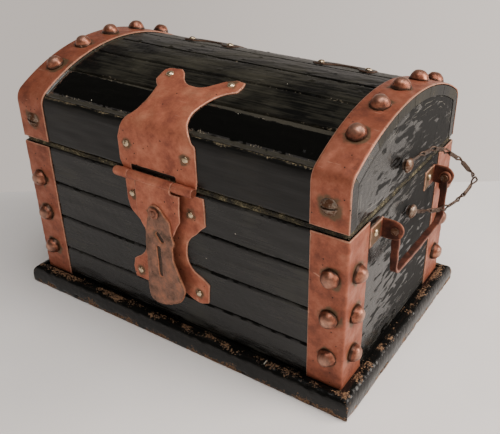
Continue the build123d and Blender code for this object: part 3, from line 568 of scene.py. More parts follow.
def turned(
    profile: Array, places: Array, normals: Array, uneven: float, seed: int, count: int = 24
) -> Surface:
    """Heads, pins and knuckles, turned about their own axes.

    Formula: each profile point (radius, height) goes round its axis; the radius is changed by a few
    waves in the place. The first and last profile points are on the axis and close the shape.

    Args:
        profile: k x 2, from the lower pole to the upper.
        places: m x 3 origins of the axes.
        normals: m x 3 directions of the axes.
        uneven: how far the radius wanders.
        seed: chooses the waves and the turns.
        count: points round the axis.

    Returns:
        All of them as one surface, whose edge value is the height.
    """
    a, b = frames_of(normals, seed)
    turn = np.arange(count) / count * 2 * math.pi
    ring = profile[1:-1]
    way = a[:, None] * np.cos(turn)[None, :, None] + b[:, None] * np.sin(turn)[None, :, None]
    body = (
        places[:, None, None]
        + ring[None, :, None, :1] * way[:, None]
        + ring[None, :, None, 1:] * normals[:, None, None]
    )
    shape = body.shape
    wave = ripple(body.reshape(-1, 3), 4.0, seed).reshape(shape[:3])
    body = body + (uneven * wave)[..., None] * way[:, None] * (ring[None, :, None, :1] > 0.3)
    poles = places[:, None] + profile[[0, -1]][None, :, 1:] * normals[:, None]
    rows, size = len(ring), len(ring) * count + 2
    points = np.concatenate([body.reshape(len(places), -1, 3), poles], 1)
    quads, tris = tube_faces(rows, count)
    shift = (np.arange(len(places)) * size)[:, None, None]
    height = np.concatenate([np.repeat(ring[:, 1], count), profile[[0, -1], 1]])
    return surface(
        points.reshape(-1, 3),
        quads[None] + shift,
        tris[None] + shift,
        edge=np.tile(height, len(places)),
    )


def swept(line: Array, section: Array, up: Array, closed: bool = False) -> Surface:
    """A section carried along a line.

    Formula: at each station the section's first coordinate goes along up, made square to the
    line, and its second along the line's tangent crossed with that. Open ends are closed flat.

    Args:
        line: n x 3 stations.
        section: k x 2, counter-clockwise, or n x k x 2 when it changes along the line.
        up: one vector, or one for each station.
        closed: joins the last station to the first.
    """
    ahead = np.roll(line, -1, 0) - np.roll(line, 1, 0) if closed else np.gradient(line, axis=0)
    ahead /= np.linalg.norm(ahead, axis=1, keepdims=True)
    first = up - (up * ahead).sum(-1, keepdims=True) * ahead
    first = first / np.linalg.norm(first, axis=1, keepdims=True)
    second = np.cross(ahead, first)
    section = np.broadcast_to(section, (len(line), *section.shape[-2:]))
    rows, cols = section.shape[:2]
    body = line[:, None] + section[..., :1] * first[:, None] + section[..., 1:] * second[:, None]
    run = np.concatenate([[0], np.cumsum(np.linalg.norm(np.diff(line, axis=0), axis=1))])
    flat = columns(run[:, None], np.arange(cols) * 0.8).reshape(-1, 2)
    if closed:
        quads = grid_quads(rows, cols, round_rows=True, round_cols=True)
        return surface(body.reshape(-1, 3), quads, np.zeros((0, 3), int), flat=flat)
    points = np.concatenate([body.reshape(-1, 3), body[[0, -1]].mean(1)])
    return surface(points, *tube_faces(rows, cols), flat=np.concatenate([flat, flat[[0, -1]]]))


def show(
    made: Surface, name: str, finish: Finish, body: str, slot: str, *nodes: str, crease: float = 40.0
) -> None:
    """Builds a piece and puts it on its body, in place of the CAD nodes that it stands for.

    Args:
        made: the piece's surface.
        name: the piece's name.
        finish: its finish.
        body: the body that it rides on.
        slot: its material slot; not used.
        nodes: the CAD nodes that it replaces.
        crease: faces that meet at more than this many degrees keep a sharp edge.
    """
    piece = made.build(name, finish.material, crease)
    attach(piece, body)
    if nodes:
        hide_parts(*nodes)
    LOG.info("%s rides on %s", name, body)


# ---- finishes
def linear(hex_colour: str) -> tuple[float, float, float, float]:
    """Linear RGBA of an sRGB hex colour."""
    parts = [int(hex_colour[i : i + 2], 16) / 255 for i in (1, 3, 5)]
    return (*[c / 12.92 if c <= 0.04045 else ((c + 0.055) / 1.055) ** 2.4 for c in parts], 1.0)


def per_metre(size: float) -> float:
    """Pattern scale whose features are about size millimetres across."""
    return 1.0 / (size * MM)


PLAIN: dict = {}  # settings of the nodes
COLOURS = {"data_type": "RGBA"}
PLUS, TIMES, TIMES_PLUS, UNDER = (
    {"operation": word} for word in ("ADD", "MULTIPLY", "MULTIPLY_ADD", "LESS_THAN")
)


def main_output(source: bpy.types.Node) -> bpy.types.NodeSocket:
    """A node's first output in use."""
    return next(socket for socket in source.outputs if socket.enabled)


def add_node(
    tree: bpy.types.NodeTree, kind: str, settings: dict = PLAIN, *feeds: object, **named: object
) -> bpy.types.Node:
    """Adds one shader node.

    Args:
        tree: the material's nodes.
        kind: the node's type without its prefix.
        settings: its properties; "ramp" is a list of (place, hex colour).
        feeds: for each input in use, in order, a value, an sRGB hex colour, a node or a socket.
        named: the same, by the inputs' names.

    Returns:
        The node, which stands for its first output in use.
    """
    made = tree.nodes.new("ShaderNode" + kind)
    for key, value in settings.items():
        if key != "ramp":
            setattr(made, key, value)
            continue
        stops = made.color_ramp.elements
        while len(stops) < len(value):
            stops.new(0.5)
        for stop, (place, shade) in zip(stops, value):
            stop.position, stop.color = place, linear(shade)
    ordered = zip([socket for socket in made.inputs if socket.enabled], feeds)
    for socket, value in (*ordered, *((made.inputs[key], value) for key, value in named.items())):
        if isinstance(value, bpy.types.Node):
            value = main_output(value)
        if isinstance(value, bpy.types.NodeSocket):
            tree.links.new(value, socket)
        else:
            socket.default_value = linear(value) if isinstance(value, str) else value
    return made


def new_material(name: str) -> tuple[bpy.types.Material, Callable[..., bpy.types.Node]]:
    """A material with nothing but its shader in it, and what adds a node to it."""
    material = bpy.data.materials.new(name)
    material.use_nodes = True
    return material, partial(add_node, material.node_tree)


def finished(
    material: bpy.types.Material, values: dict[str, float], *sources: bpy.types.Node
) -> bpy.types.Material:
    """Feeds the material's shader.

    Args:
        material: a new material.
        values: a number for each shader input that is the same all over the surface.
        sources: the nodes of the colour, the roughness and the bumps, or the first few of them.

    Returns:
        The same material.
    """
    inputs = material.node_tree.nodes["Principled BSDF"].inputs
    for name, source in zip(("Base Color", "Roughness", "Normal"), sources):
        material.node_tree.links.new(main_output(source), inputs[name])
    for name, value in values.items():
        inputs[name].default_value = value
    return material


@dataclass(frozen=True)
class BlackPaint:
    """Oil paint on softwood, laid on by brush and rubbed by a century of hands.

    The eye gets a nearly black, half-glossy film with brush streaks along the grain, a grey-brown
    bloom of dust, pale and brown chips along every edge, pin holes and a few white specks.

    Args:
        name: the material's name.
        deep: colour of clean paint.
        bloom: colour of the dusty film.
        dusty: how much of the film shows, 0 to 1.
        chips: reach of the edge's chips in millimetres.
        firm: how firmly the film holds on the edges; low is much chipped.
        chip_shades: colours of the chips, dark to pale.
        gloss: roughness of clean paint and of the film.
        streak: length and width of a brush streak in millimetres.
        specks: share of the speck cells that hold a white speck.
        drips: how much sooty paint, which doesn't shine, lies over the film, more of it to the back.
        shine: strength of the mirrored light, 0.5 for fresh paint.
        furrow: depth of the brush marks in millimetres.
        dust: colour of the dust that lies on the sunk ledges.
    """

    name: str
    deep: str = "#0c0c0b"
    bloom: str = "#35332d"
    dusty: float = 0.5
    chips: float = 0.8
    firm: float = 0.3
    chip_shades: tuple[str, str, str] = ("#2f2a20", "#544b3a", "#8a8170")
    gloss: tuple[float, float] = (0.24, 0.5)
    streak: tuple[float, float] = (34.0, 1.6)
    specks: float = 0.05
    drips: float = 0.0
    shine: float = 0.4
    furrow: float = 0.3
    dust: str = "#3a372c"

    def material(self) -> bpy.types.Material:
        """Builds the paint from streaks, film, chips, holes and specks."""
        material, add = new_material(self.name)
        flat = add("UVMap", {"uv_map": "flat"})
        place = add("TexCoord").outputs["Object"]
        drawn = add("Mapping", Vector=flat, Scale=(1.0, self.streak[0] / self.streak[1], 1.0))
        streaks = add(
            "TexNoise", Vector=drawn, Scale=per_metre(self.streak[0]), Detail=6.0, Roughness=0.62
        )
        clouds = add("TexNoise", Vector=place, Scale=per_metre(26.0), Detail=4.0)
        grit = add("TexNoise", Vector=place, Scale=per_metre(1.1), Detail=4.0, Roughness=0.65)
        both = add("Math", PLUS, streaks, clouds)
        film = add("MapRange", PLAIN, both, 1.32 - 0.6 * self.dusty, 1.5 - 0.34 * self.dusty, 0.0, 1.0)
        colour = add("Mix", COLOURS, film, self.deep, self.bloom)
        if self.drips:
            slant = add("Mapping", Vector=flat, Rotation=(0, 0, 0.7), Scale=(1.0, 3.4, 1.0))
            runs = add("TexNoise", Vector=slant, Scale=per_metre(12.0), Detail=3.0, Distortion=0.3)
            depth = add("SeparateXYZ", PLAIN, place).outputs["Y"]
            behind = add("MapRange", PLAIN, depth, -0.05, 0.02, -0.1, 0.2)
            runs = add("Math", PLUS, runs, behind)
            start = 0.62 - 0.1 * self.drips
            wet = add("MapRange", PLAIN, runs, start, start + 0.07, 0.0, 1.0)
            colour = add("Mix", COLOURS, wet, colour, self.deep)
            dry = add("Math", {"operation": "SUBTRACT"}, 1.0, wet)
            film = add("Math", TIMES, film, dry)
        # chips: the edge's distance against a gritty threshold; it is negative in sunk, dusty places
        signed = add("Attribute", {"attribute_name": "edge"}).outputs["Fac"]
        sunk = add("MapRange", PLAIN, signed, -0.5, -0.05, 0.75, 0.0)
        colour = add("Mix", COLOURS, sunk, colour, self.dust)
        edge = add("Math", {"operation": "ABSOLUTE"}, signed)
        patches = add("TexNoise", Vector=place, Scale=per_metre(9.0), Detail=3.0)
        ragged = add("Math", TIMES, grit, patches)
        reach = add("Math", TIMES_PLUS, edge, -0.12 / self.chips, ragged)
        worn = add("MapRange", PLAIN, reach, self.firm, self.firm + 0.05, 0.0, 1.0)
        shades = [(0.36, self.chip_shades[0]), (0.5, self.chip_shades[1]), (0.62, self.chip_shades[2])]
        wood = add("ValToRGB", {"ramp": shades}, grit)
        colour = add("Mix", COLOURS, worn, colour, wood)
        if self.drips:
            # fine light cracks that follow the edge
            wander = add("Math", TIMES_PLUS, clouds, -9.0, edge)
            beat = add("Math", {"operation": "PINGPONG"}, wander, 1.3)
            line = add("MapRange", PLAIN, beat, 0.05, 0.13, 0.75, 0.0)
            near = add("MapRange", PLAIN, edge, 5.0, 9.0, 1.0, 0.0)
            some = add("MapRange", PLAIN, patches, 0.5, 0.56, 0.0, 1.0)
            line = add("Math", TIMES, line, near)
            line = add("Math", TIMES, line, some)
            colour = add("Mix", COLOURS, line, colour, "#8f8c82")
        # pin holes and specks: one dot in a few of the cells
        cells = add("TexVoronoi", Vector=flat, Scale=per_metre(5.0))
        dot = add("Math", UNDER, cells.outputs["Distance"], 0.06)
        pick = add("SeparateColor", PLAIN, cells.outputs["Color"])
        white = add("Math", UNDER, pick.outputs[0], self.specks)
        hole = add("Math", UNDER, pick.outputs[1], 0.07)
        speck = add("Math", TIMES, dot, white)
        pit = add("Math", TIMES, dot, hole)
        colour = add("Mix", COLOURS, speck, colour, "#b4afa2")
        colour = add("Mix", COLOURS, pit, colour, "#050504")
        # height: streaks and grit stand up, chips and holes go in
        relief = add("Math", TIMES_PLUS, grit, 0.35, streaks)
        relief = add("Math", TIMES_PLUS, worn, -0.5, relief)
        relief = add("Math", TIMES_PLUS, pit, -1.5, relief)
        bump = add("Bump", Height=relief, Strength=0.5, Distance=self.furrow * MM)
        dull = add("MapRange", PLAIN, film, 0.0, 1.0, self.gloss[0], self.gloss[1])
        rough = add("Mix", {"data_type": "FLOAT"}, worn, dull, 0.8)
        if self.drips:
            rough = add("Mix", {"data_type": "FLOAT"}, wet, rough, 0.9)
        return finished(material, {"Specular IOR Level": self.shine}, colour, rough, bump)


@dataclass(frozen=True)
class CopperSheet:
    """Copper sheet, cut with shears, hammered down and never polished since.

    The eye gets an orange-red metal dulled by a brown oxide skin, olive tarnish round the nails and in
    the lee of the edges, bright cut edges that are rubbed and also carry a painted highlight, dark
    pinpricks and a few light scratches.

    Args:
        name: the material's name.
        shades: dark, middle and light oxide.
        tarnish: colour of the olive-brown bloom.
        bright: colour of the rubbed edge, which is also a painted highlight along the cut edges.
        tarnished: how much of the bloom there is, 0 to 1.
        metallic: share of bare metal.
        rough: lowest and highest roughness.
        mottle: size of the oxide's patches in millimetres.
        halo: reach of the olive bloom round a nail, from full to none.
        by_height: a nail's head, dark round its foot and rubbed bright on its crown.
    """

    name: str
    shades: tuple[str, str, str] = ("#76402f", "#96543d", "#ab6a52")
    tarnish: str = "#5a4c36"
    bright: str = "#dca98e"
    tarnished: float = 0.35
    metallic: float = 0.5
    rough: tuple[float, float] = (0.4, 0.58)
    mottle: float = 11.0
    halo: tuple[float, float] = (5.2, 8.4)
    by_height: bool = False

    def material(self) -> bpy.types.Material:
        """Builds the copper from oxide, tarnish, rubbed edges, pinpricks and scratches."""
        material, add = new_material(self.name)
        place = add("TexCoord").outputs["Object"]
        mottle = add("TexNoise", Vector=place, Scale=per_metre(self.mottle), Detail=5.0, Roughness=0.6)
        grit = add("TexNoise", Vector=place, Scale=per_metre(1.3), Detail=4.0, Roughness=0.7)
        mixed = add("Math", TIMES_PLUS, grit, 0.35, mottle)
        shades = [(0.5, self.shades[0]), (0.68, self.shades[1]), (0.88, self.shades[2])]
        colour = add("ValToRGB", {"ramp": shades}, mixed)
        edge = add("Attribute", {"attribute_name": "edge"}).outputs["Fac"]
        patch = add("TexNoise", Vector=place, Scale=per_metre(8.0), Detail=4.0, Distortion=0.5)
        if self.by_height:
            foot = add("MapRange", PLAIN, edge, 0.3, 2.2, 0.55, 0.0)
            bloom = add("Math", PLUS, foot, patch)
            crown = add("MapRange", PLAIN, edge, 3.0, 5.2, 0.0, 0.45)
            rubbed = add("Math", TIMES, crown, patch)
        else:
            nail = add("Attribute", {"attribute_name": "nail"}).outputs["Fac"]
            halo = add("MapRange", PLAIN, nail, self.halo[0], self.halo[1], 0.34, 0.0)
            lee = add("MapRange", PLAIN, edge, 0.5, 2.2, 0.12, 0.0)
            bloom = add("Math", PLUS, halo, patch)
            bloom = add("Math", PLUS, bloom, lee)
            # cut edges: rubbed bright, and also a painted highlight where light would catch them
            cut = add("MapRange", PLAIN, edge, 0.15, 0.6, 1.0, 0.0)
            rubbed = add("Math", TIMES, cut, grit)
        start = 0.78 - 0.3 * self.tarnished
        stained = add("MapRange", PLAIN, bloom, start, start + 0.17, 0.0, 0.85)
        colour = add("Mix", COLOURS, stained, colour, self.tarnish)
        colour = add("Mix", COLOURS, rubbed, colour, self.bright)
        # dark pinpricks in some of the cells, and light scratches
        cells = add("TexVoronoi", Vector=place, Scale=per_metre(3.2))
        dot = add("Math", UNDER, cells.outputs["Distance"], 0.13)
        pick = add("SeparateColor", PLAIN, cells.outputs["Color"])
        some = add("Math", UNDER, pick.outputs[0], 0.22)
        prick = add("Math", TIMES, dot, some)
        colour = add("Mix", COLOURS, prick, colour, "#2d1d16")
        slant = add("Mapping", Vector=place, Rotation=(0.5, 0.6, 0.3), Scale=(1.0, 26.0, 1.0))
        lines = add("TexNoise", Vector=slant, Scale=per_metre(14.0), Detail=2.0)
        scratch = add("MapRange", PLAIN, lines, 0.71, 0.75, 0.0, 0.5)
        colour = add("Mix", COLOURS, scratch, colour, self.bright)
        relief = add("Math", TIMES_PLUS, grit, 0.5, mottle)
        relief = add("Math", TIMES_PLUS, prick, -1.0, relief)
        bump = add("Bump", Height=relief, Strength=0.35, Distance=0.3 * MM)
        rough = add("MapRange", PLAIN, mixed, 0.45, 0.9, self.rough[1], self.rough[0])
        return finished(material, {"Metallic": self.metallic}, colour, rough, bump)


@dataclass(frozen=True)
class Iron:
    """Drawn wire, turned screws and pins of iron or steel, browned by rust.

    The eye gets a dark or pale grey metal, freckled brown in the hollows.

    Args:
        name: the material's name.
        metal: colour of the metal.
        rust: colour of the rust.
        rusty: how much of it there is, 0 to 1.
        rough: roughness of the metal and of the rust.
    """

    name: str
    metal: str = "#8a8072"
    rust: str = "#4a2f22"
    rusty: float = 0.5
    rough: tuple[float, float] = (0.34, 0.7)

    def material(self) -> bpy.types.Material:
        """Builds the metal from two scales of rust."""
        material, add = new_material(self.name)
        place = add("TexCoord").outputs["Object"]
        coarse = add("TexNoise", Vector=place, Scale=per_metre(4.0), Detail=5.0, Roughness=0.65)
        fine = add("TexNoise", Vector=place, Scale=per_metre(0.9), Detail=3.0)
        both = add("Math", TIMES_PLUS, fine, 0.5, coarse)
        start = 0.95 - 0.4 * self.rusty
        rusted = add("MapRange", PLAIN, both, start, start + 0.16, 0.0, 1.0)
        colour = add("Mix", COLOURS, rusted, self.metal, self.rust)
        rough = add("MapRange", PLAIN, rusted, 0.0, 1.0, self.rough[0], self.rough[1])
        bump = add("Bump", Height=both, Strength=0.4, Distance=0.2 * MM)
        return finished(material, {"Metallic": 0.85}, colour, rough, bump)


@dataclass(frozen=True)
class Thread:
    """Cotton and tinsel thread, braided, faded and rubbed: matt olive with gold and dark hollows."""

    name: str
    shades: tuple[str, str, str] = ("#16140e", "#453f2b", "#9a9070")

    def material(self) -> bpy.types.Material:
        """Builds the thread from two scales of fading."""
        material, add = new_material(self.name)
        place = add("TexCoord").outputs["Object"]
        fade = add("TexNoise", Vector=place, Scale=per_metre(7.0), Detail=5.0, Roughness=0.7)
        fine = add("TexNoise", Vector=place, Scale=per_metre(0.8), Detail=2.0)
        both = add("Math", TIMES_PLUS, fine, 0.5, fade)
        shades = [(0.62, self.shades[0]), (0.82, self.shades[1]), (0.98, self.shades[2])]
        colour = add("ValToRGB", {"ramp": shades}, both)
        rough = add("MapRange", PLAIN, fine, 0.2, 0.8, 0.7, 0.95)
        bump = add("Bump", Height=both, Strength=0.6, Distance=0.25 * MM)
        return finished(material, {}, colour, rough, bump)


class Finish(Enum):
    """Every finish on the trunk."""

    WALL = BlackPaint("brushed black oil paint on pine, walls", bloom="#2c2c26", dusty=0.5, firm=0.4)
    END = BlackPaint(
        "brushed black oil paint on pine, ends", bloom="#2a2925", dusty=0.6, firm=0.4, gloss=(0.2, 0.32),
        streak=(18.0, 1.5), specks=0.03, drips=0.8, shine=0.38, furrow=0.1,
    )
    SLAT = BlackPaint(
        "brushed black oil paint on pine, lid", bloom="#35332b", dusty=0.7, firm=0.31, gloss=(0.34, 0.46),
        shine=0.12,
        furrow=0.15,
    )
    WET_SLAT = BlackPaint(
        "thick glossy black paint, front slat", deep="#070706", bloom="#191815", dusty=0.2, chips=0.7,
        firm=0.275,
        gloss=(0.1, 0.26), specks=0.12, shine=0.5, dust="#45423a",
    )
    RAIL = BlackPaint(
        "brushed black oil paint on pine, rail", bloom="#1f1e1a", dusty=0.5, chips=1.0, firm=0.205,
        gloss=(0.3, 0.5),
        chip_shades=("#2b251a", "#4d4434", "#7a6d52"), shine=0.3,
    )
    MOULDING = BlackPaint(
        "chipped black oil paint on pine, base", bloom="#191815", dusty=0.4, chips=2.0, firm=0.2,
        gloss=(0.2, 0.36),
        chip_shades=("#35251a", "#5e422e", "#84664a"), specks=0.12, shine=0.3, furrow=0.2,
    )
    STRAP = CopperSheet("hammered copper sheet, straps")
    PLATE = CopperSheet(
        "hammered copper sheet, hasp", shades=("#8f4f3c", "#b0674d", "#c47f62"), tarnished=0.24,
        rough=(0.44, 0.62), halo=(2.7, 5.6),
    )
    TONGUE = CopperSheet(
        "rubbed copper plate, tongue", shades=(
            "#5a4436", "#86604f", "#ad7256"
        ), tarnish="#46402f", tarnished=0.55,
        bright="#d08a66", mottle=8.0,
    )
    STUD = CopperSheet(
        "turned copper nail heads", shades=(
            "#4f2f23", "#824d39", "#a97259"
        ), tarnish="#33271e", bright="#e6c0aa",
        tarnished=0.42, metallic=0.7, rough=(0.3, 0.46), mottle=3.6, by_height=True,
    )
    # browned copper on the bails; on the bracket ears, the same copper as their feet, this dark finish is
    # painted shade
    HANDLE = CopperSheet(
        "browned copper strip, handles", shades=(
            "#3a1f18", "#5b3226", "#804c38"
        ), tarnish="#2b201a", tarnished=0.5,
        bright="#a96b50",
    )
    # blackened copper on the lid's hinge leaves; the same dark finish also fills the tongue's slots as
    # painted shade
    SOOTY = CopperSheet(
        "blackened copper, hinges", shades=(
            "#1d1815", "#31261f", "#4c382c"
        ), tarnish="#1c1a16", tarnished=0.5,
        bright="#6e503e",
    )
    PIN = Iron("domed brass pins", metal="#c6b294", rust="#5f4631", rusty=0.42, rough=(0.2, 0.5))
    SCREW = Iron("turned steel screws", metal="#86776a", rust="#5f402e", rusty=0.75, rough=(0.4, 0.7))
    WIRE = Iron("browned iron wire", metal="#54463d", rust="#3d2b21", rusty=0.6, rough=(0.42, 0.7))
    BRAID = Thread("faded olive and gold braid")

    @property
    def material(self) -> bpy.types.Material:
        """The finish's material, made when it is first asked for."""
        return bpy.data.materials.get(self.value.name) or self.value.material()


# ---- the base
@dataclass
class Base:
    """The four mitred bullnose mouldings round the floor board."""

    reach: float = 9.0  # from the walls' wood to the nose
    nose_top: float = 3.2  # where the round nose starts on top
    nose_low: float = 4.6
    rebate: float = 2.4  # beside the walls, for the straps' feet
    mitre_gap: float = 0.12

    def section(self) -> Array:
        """Closed outline (out, height), with the nose as a quarter of a superellipse."""
        turn = np.linspace(0, math.pi / 2, 14)
        nose = columns(
            self.nose_top + (self.reach - self.nose_top) * np.cos(turn) ** 0.8,
            self.nose_low + (BASE_TOP - self.nose_low) * np.sin(turn) ** 0.8
        )
        foot = [
            (0.0, 0.0), (4.5, 0.0), (self.reach - 0.5, 0.0), (self.reach - 0.1, 0.4), (self.reach, 1.2)
        ]
        rise = [(self.reach, 2.4), (self.reach, 3.5)]
        back = [(self.rebate, BASE_TOP), (self.rebate, BODY_FOOT), (0.0, BODY_FOOT), (0.0, 5.0)]
        return path(foot, rise, nose, back)

    def moulding(self, side: Side) -> Surface:
        """One moulding: the section runs the wall's length plus its own reach, so both ends mitre."""
        section = self.section()
        half = (WOOD_W if side.value[0] == 0 else WOOD_D) + section[:, 0] - self.mitre_gap
        ways = np.linspace(-1, 1, 240)
        u = ways[:, None] * half[None]
        rows, cols = u.shape
        at = columns(u, section[:, 0], section[:, 1])
        flat = at.reshape(-1, 3)
        seed = 60 + list(Side).index(side)
        open_face = step(flat[:, 1], 3.0, 6.0) * step(flat[:, 2], -0.5, 0.6)
        wear = 0.12 * ripple(flat, 16.0, seed) + 0.07 * ripple(flat, 3.5, seed + 9)
        chip = np.clip(ripple(flat * (1, 2, 2), 9.0, seed + 20) - 0.55, 0, 1) * (flat[:, 2] < 3.0) * 1.3
        out = flat[:, 1] + open_face * (wear - chip - 0.15)
        points = flat[:, :1] * side.along + (side.wood + out)[:, None] * side.out
        points[:, 2] = np.maximum(flat[:, 2] + open_face * step(flat[:, 2], 1.0, 4.0) * wear * 0.7, 0)
        quads, tris = tube_faces(rows, cols)
        ends = points.reshape(rows, cols, 3)[[0, -1]].mean(1)
        edge = np.minimum(
            np.hypot(flat[:, 1] - self.reach, flat[:, 2]) * 0.55, (BASE_TOP - flat[:, 2]) * 1.2 + 0.9
        )
        edge = np.where(chip > 0.1, 0.1, edge)
        end_edge = (half[None] - np.abs(u)).ravel() * 0.7 + 0.3
        return surface(
            np.concatenate([points, ends]),
            quads[:, ::-1],
            tris[:, ::-1],
            flat=np.concatenate([flat[:, [0, 2]] + (0, 40.0 * seed), np.zeros((2, 2))]),
            edge=np.concatenate([np.minimum(edge, end_edge), [0.5, 0.5]]),
        )

    def make(self) -> None:
        """Makes the mouldings."""
        for side in Side:
            name = side.name.lower()
            show(
                self.moulding(side), f"painted_moulding_{name}", Finish.MOULDING, "chest",
                "painted_boards", f"base_moulding_{name}", crease=50.0
            )


# ---- the walls
@dataclass
class Walls:
    """Four planks on the front and back, and one board on each end."""

    joints: tuple[float, ...] = (32.0, 55.5, 79.0)
    crack: float = 0.22  # open joint between planks
    nose: float = 0.8  # worn round along the joints

    def plank(self, side: Side, low: float, high: float, seed: int) -> Surface:
        """One plank, a little hollow and wavy, as it came off the plane."""

        def relief(at: Array, depth: Array) -> tuple[Array, Array]:
            """Long shallow waves of the plane, and sagged paint along the lower edge."""
            wave = 0.1 * ripple(at * (0.25, 1.0), 8.0, seed)
            wave = wave + 0.05 * ripple(at * (1.0, 2.0), 5.0, seed + 1)
            sag = 0.12 * step(at[:, 1], low + 3.0, low + 0.8)
            return wave + sag, np.minimum(at[:, 1] - low, high - at[:, 1])

        loop = rectangle(-WOOD_W, WOOD_W, low + self.crack, high - self.crack)
        return Sheet(
            [loop], on_wall(side, side.wood), BOARD, cell=1.0, wobble=0.1, wave=14.0, rim=self.nose,
            hammer=0.0, relief=relief, seed=seed
        ).make()

    def end(self, side: Side, seed: int) -> Surface:
        """An end board, brushed across in slanting strokes."""
        loop = rectangle(-(WOOD_D - BOARD), WOOD_D - BOARD, BASE_TOP, BODY_TOP)
        return board(loop, on_wall(side, side.wood), 1.0, 0.4, brushed(seed, 6.0, 0.2, 0.0), seed)

    def make(self) -> None:
        """Makes the ten boards."""
        levels = (BASE_TOP, *self.joints, BODY_TOP)
        for side in (Side.FRONT, Side.BACK):
            for number, (low, high) in enumerate(zip(levels, levels[1:]), start=1):
                seed = 10 * number + (side is Side.BACK)
                name = f"{side.name.lower()}_plank_{number}"
                show(
                    self.plank(side, low, high, seed), f"painted_{name}", Finish.WALL, "chest",
                    "painted_boards", name
                )
        for seed, side in ((81, Side.LEFT), (82, Side.RIGHT)):
            name = f"end_board_{side.name.lower()}"
            show(self.end(side, seed), f"painted_{name}", Finish.END, "chest", "painted_boards", name)


# ---- corner straps and nails
STUD_HEIGHTS = (30.0, 55.0, 79.5)
STUD_FRONT, STUD_SIDE = 9.0, 10.5  # from the corner, on the front or back and on the ends


@dataclass
class CornerStraps:
    """Copper angle straps up the four corners, with their nails."""

    front_leg: float = 21.0
    side_leg: float = 22.0
    bend: float = 1.1  # outer radius of the hammered corner
    stud_profile: tuple[tuple[float, float], ...] = (
        (0.0, 0.0), (5.0, 0.0), (5.3, 0.3), (5.2, 0.9), (4.75, 1.8), (4.35, 2.8), (3.7, 3.7),
        (2.95, 4.45), (2.2, 4.85), (1.1, 5.12), (0.0, 5.2),
    )

    def round_corner(self, first: Side) -> Wrap:
        """Lays flat (run past the corner, height) round the corner at the end of a wall."""
        one, two = first.out, first.along
        corner = one * (HALF_D if first.value[0] == 0 else HALF_W)
        corner = corner + two * (HALF_W if first.value[0] == 0 else HALF_D)
        middle = corner - self.bend * (one + two)
        half = self.bend * math.pi / 4

        def wrap(u: Array, v: Array, h: Array) -> Array:
            """Straight before the bend, round it, and straight after it."""
            turn = np.clip(u / self.bend + math.pi / 4, 0, math.pi / 2)
            way = np.cos(turn)[:, None] * one + np.sin(turn)[:, None] * two
            before, after = np.minimum(u + half, 0), np.maximum(u - half, 0)
            points = middle + (self.bend + h)[:, None] * way
            points = points + before[:, None] * two - after[:, None] * one
            return points + v[:, None] * UP

        return wrap

    def flat_place(self, from_corner: float, before: bool) -> float:
        """Run past the corner of a place so far from the corner's edge."""
        run = from_corner - self.bend + self.bend * math.pi / 4
        return -run if before else run

    def strap(self, first: Side, seed: int) -> Surface:
        """One strap, hand-cut and hammered, with three nails in each leg."""
        front_first = first.value[0] == 0
        legs = (self.front_leg, self.side_leg) if front_first else (self.side_leg, self.front_leg)
        insets = (STUD_FRONT, STUD_SIDE) if front_first else (STUD_SIDE, STUD_FRONT)
        ends = [self.flat_place(leg, i == 0) for i, leg in enumerate(legs)]
        nails = [
            (self.flat_place(inset, i == 0), z) for i, inset in enumerate(insets) for z in STUD_HEIGHTS
        ]
        loop = rectangle(ends[0], ends[1], BODY_FOOT, BODY_TOP)
        return Sheet(
            [loop], self.round_corner(first), nails=np.array(nails), seed=seed, hammer=0.09
        ).make()

    def make(self) -> None:
        """Makes the four straps and the 24 nails on them."""
        names = {
            Side.FRONT: "front_right", Side.RIGHT: "back_right", Side.BACK: "back_left",
            Side.LEFT: "front_left"
        }
        for seed, (first, name) in enumerate(names.items(), start=100):
            show(
                self.strap(first, seed), f"copper_strap_{name}", Finish.STRAP, "chest", "copper_sheet",
                f"corner_strap_{name}"
            )
        places, normals = [], []
        for side in Side:
            half, inset, reach = (HALF_W, STUD_FRONT, HALF_D) if side.value[0] == 0 else (
                HALF_D, STUD_SIDE, HALF_W
            )
            for way in SIDES:
                for z in STUD_HEIGHTS:
                    places.append(
                        side.along * way * (half - inset) + side.out * reach + np.array((0, 0, z))
                    )
                    normals.append(side.out)
        studs = turned(np.array(self.stud_profile), np.array(places), np.array(normals), 0.2, 7)
        show(studs, "corner_nails", Finish.STUD, "chest", "copper_studs", "corner_studs", crease=50.0)


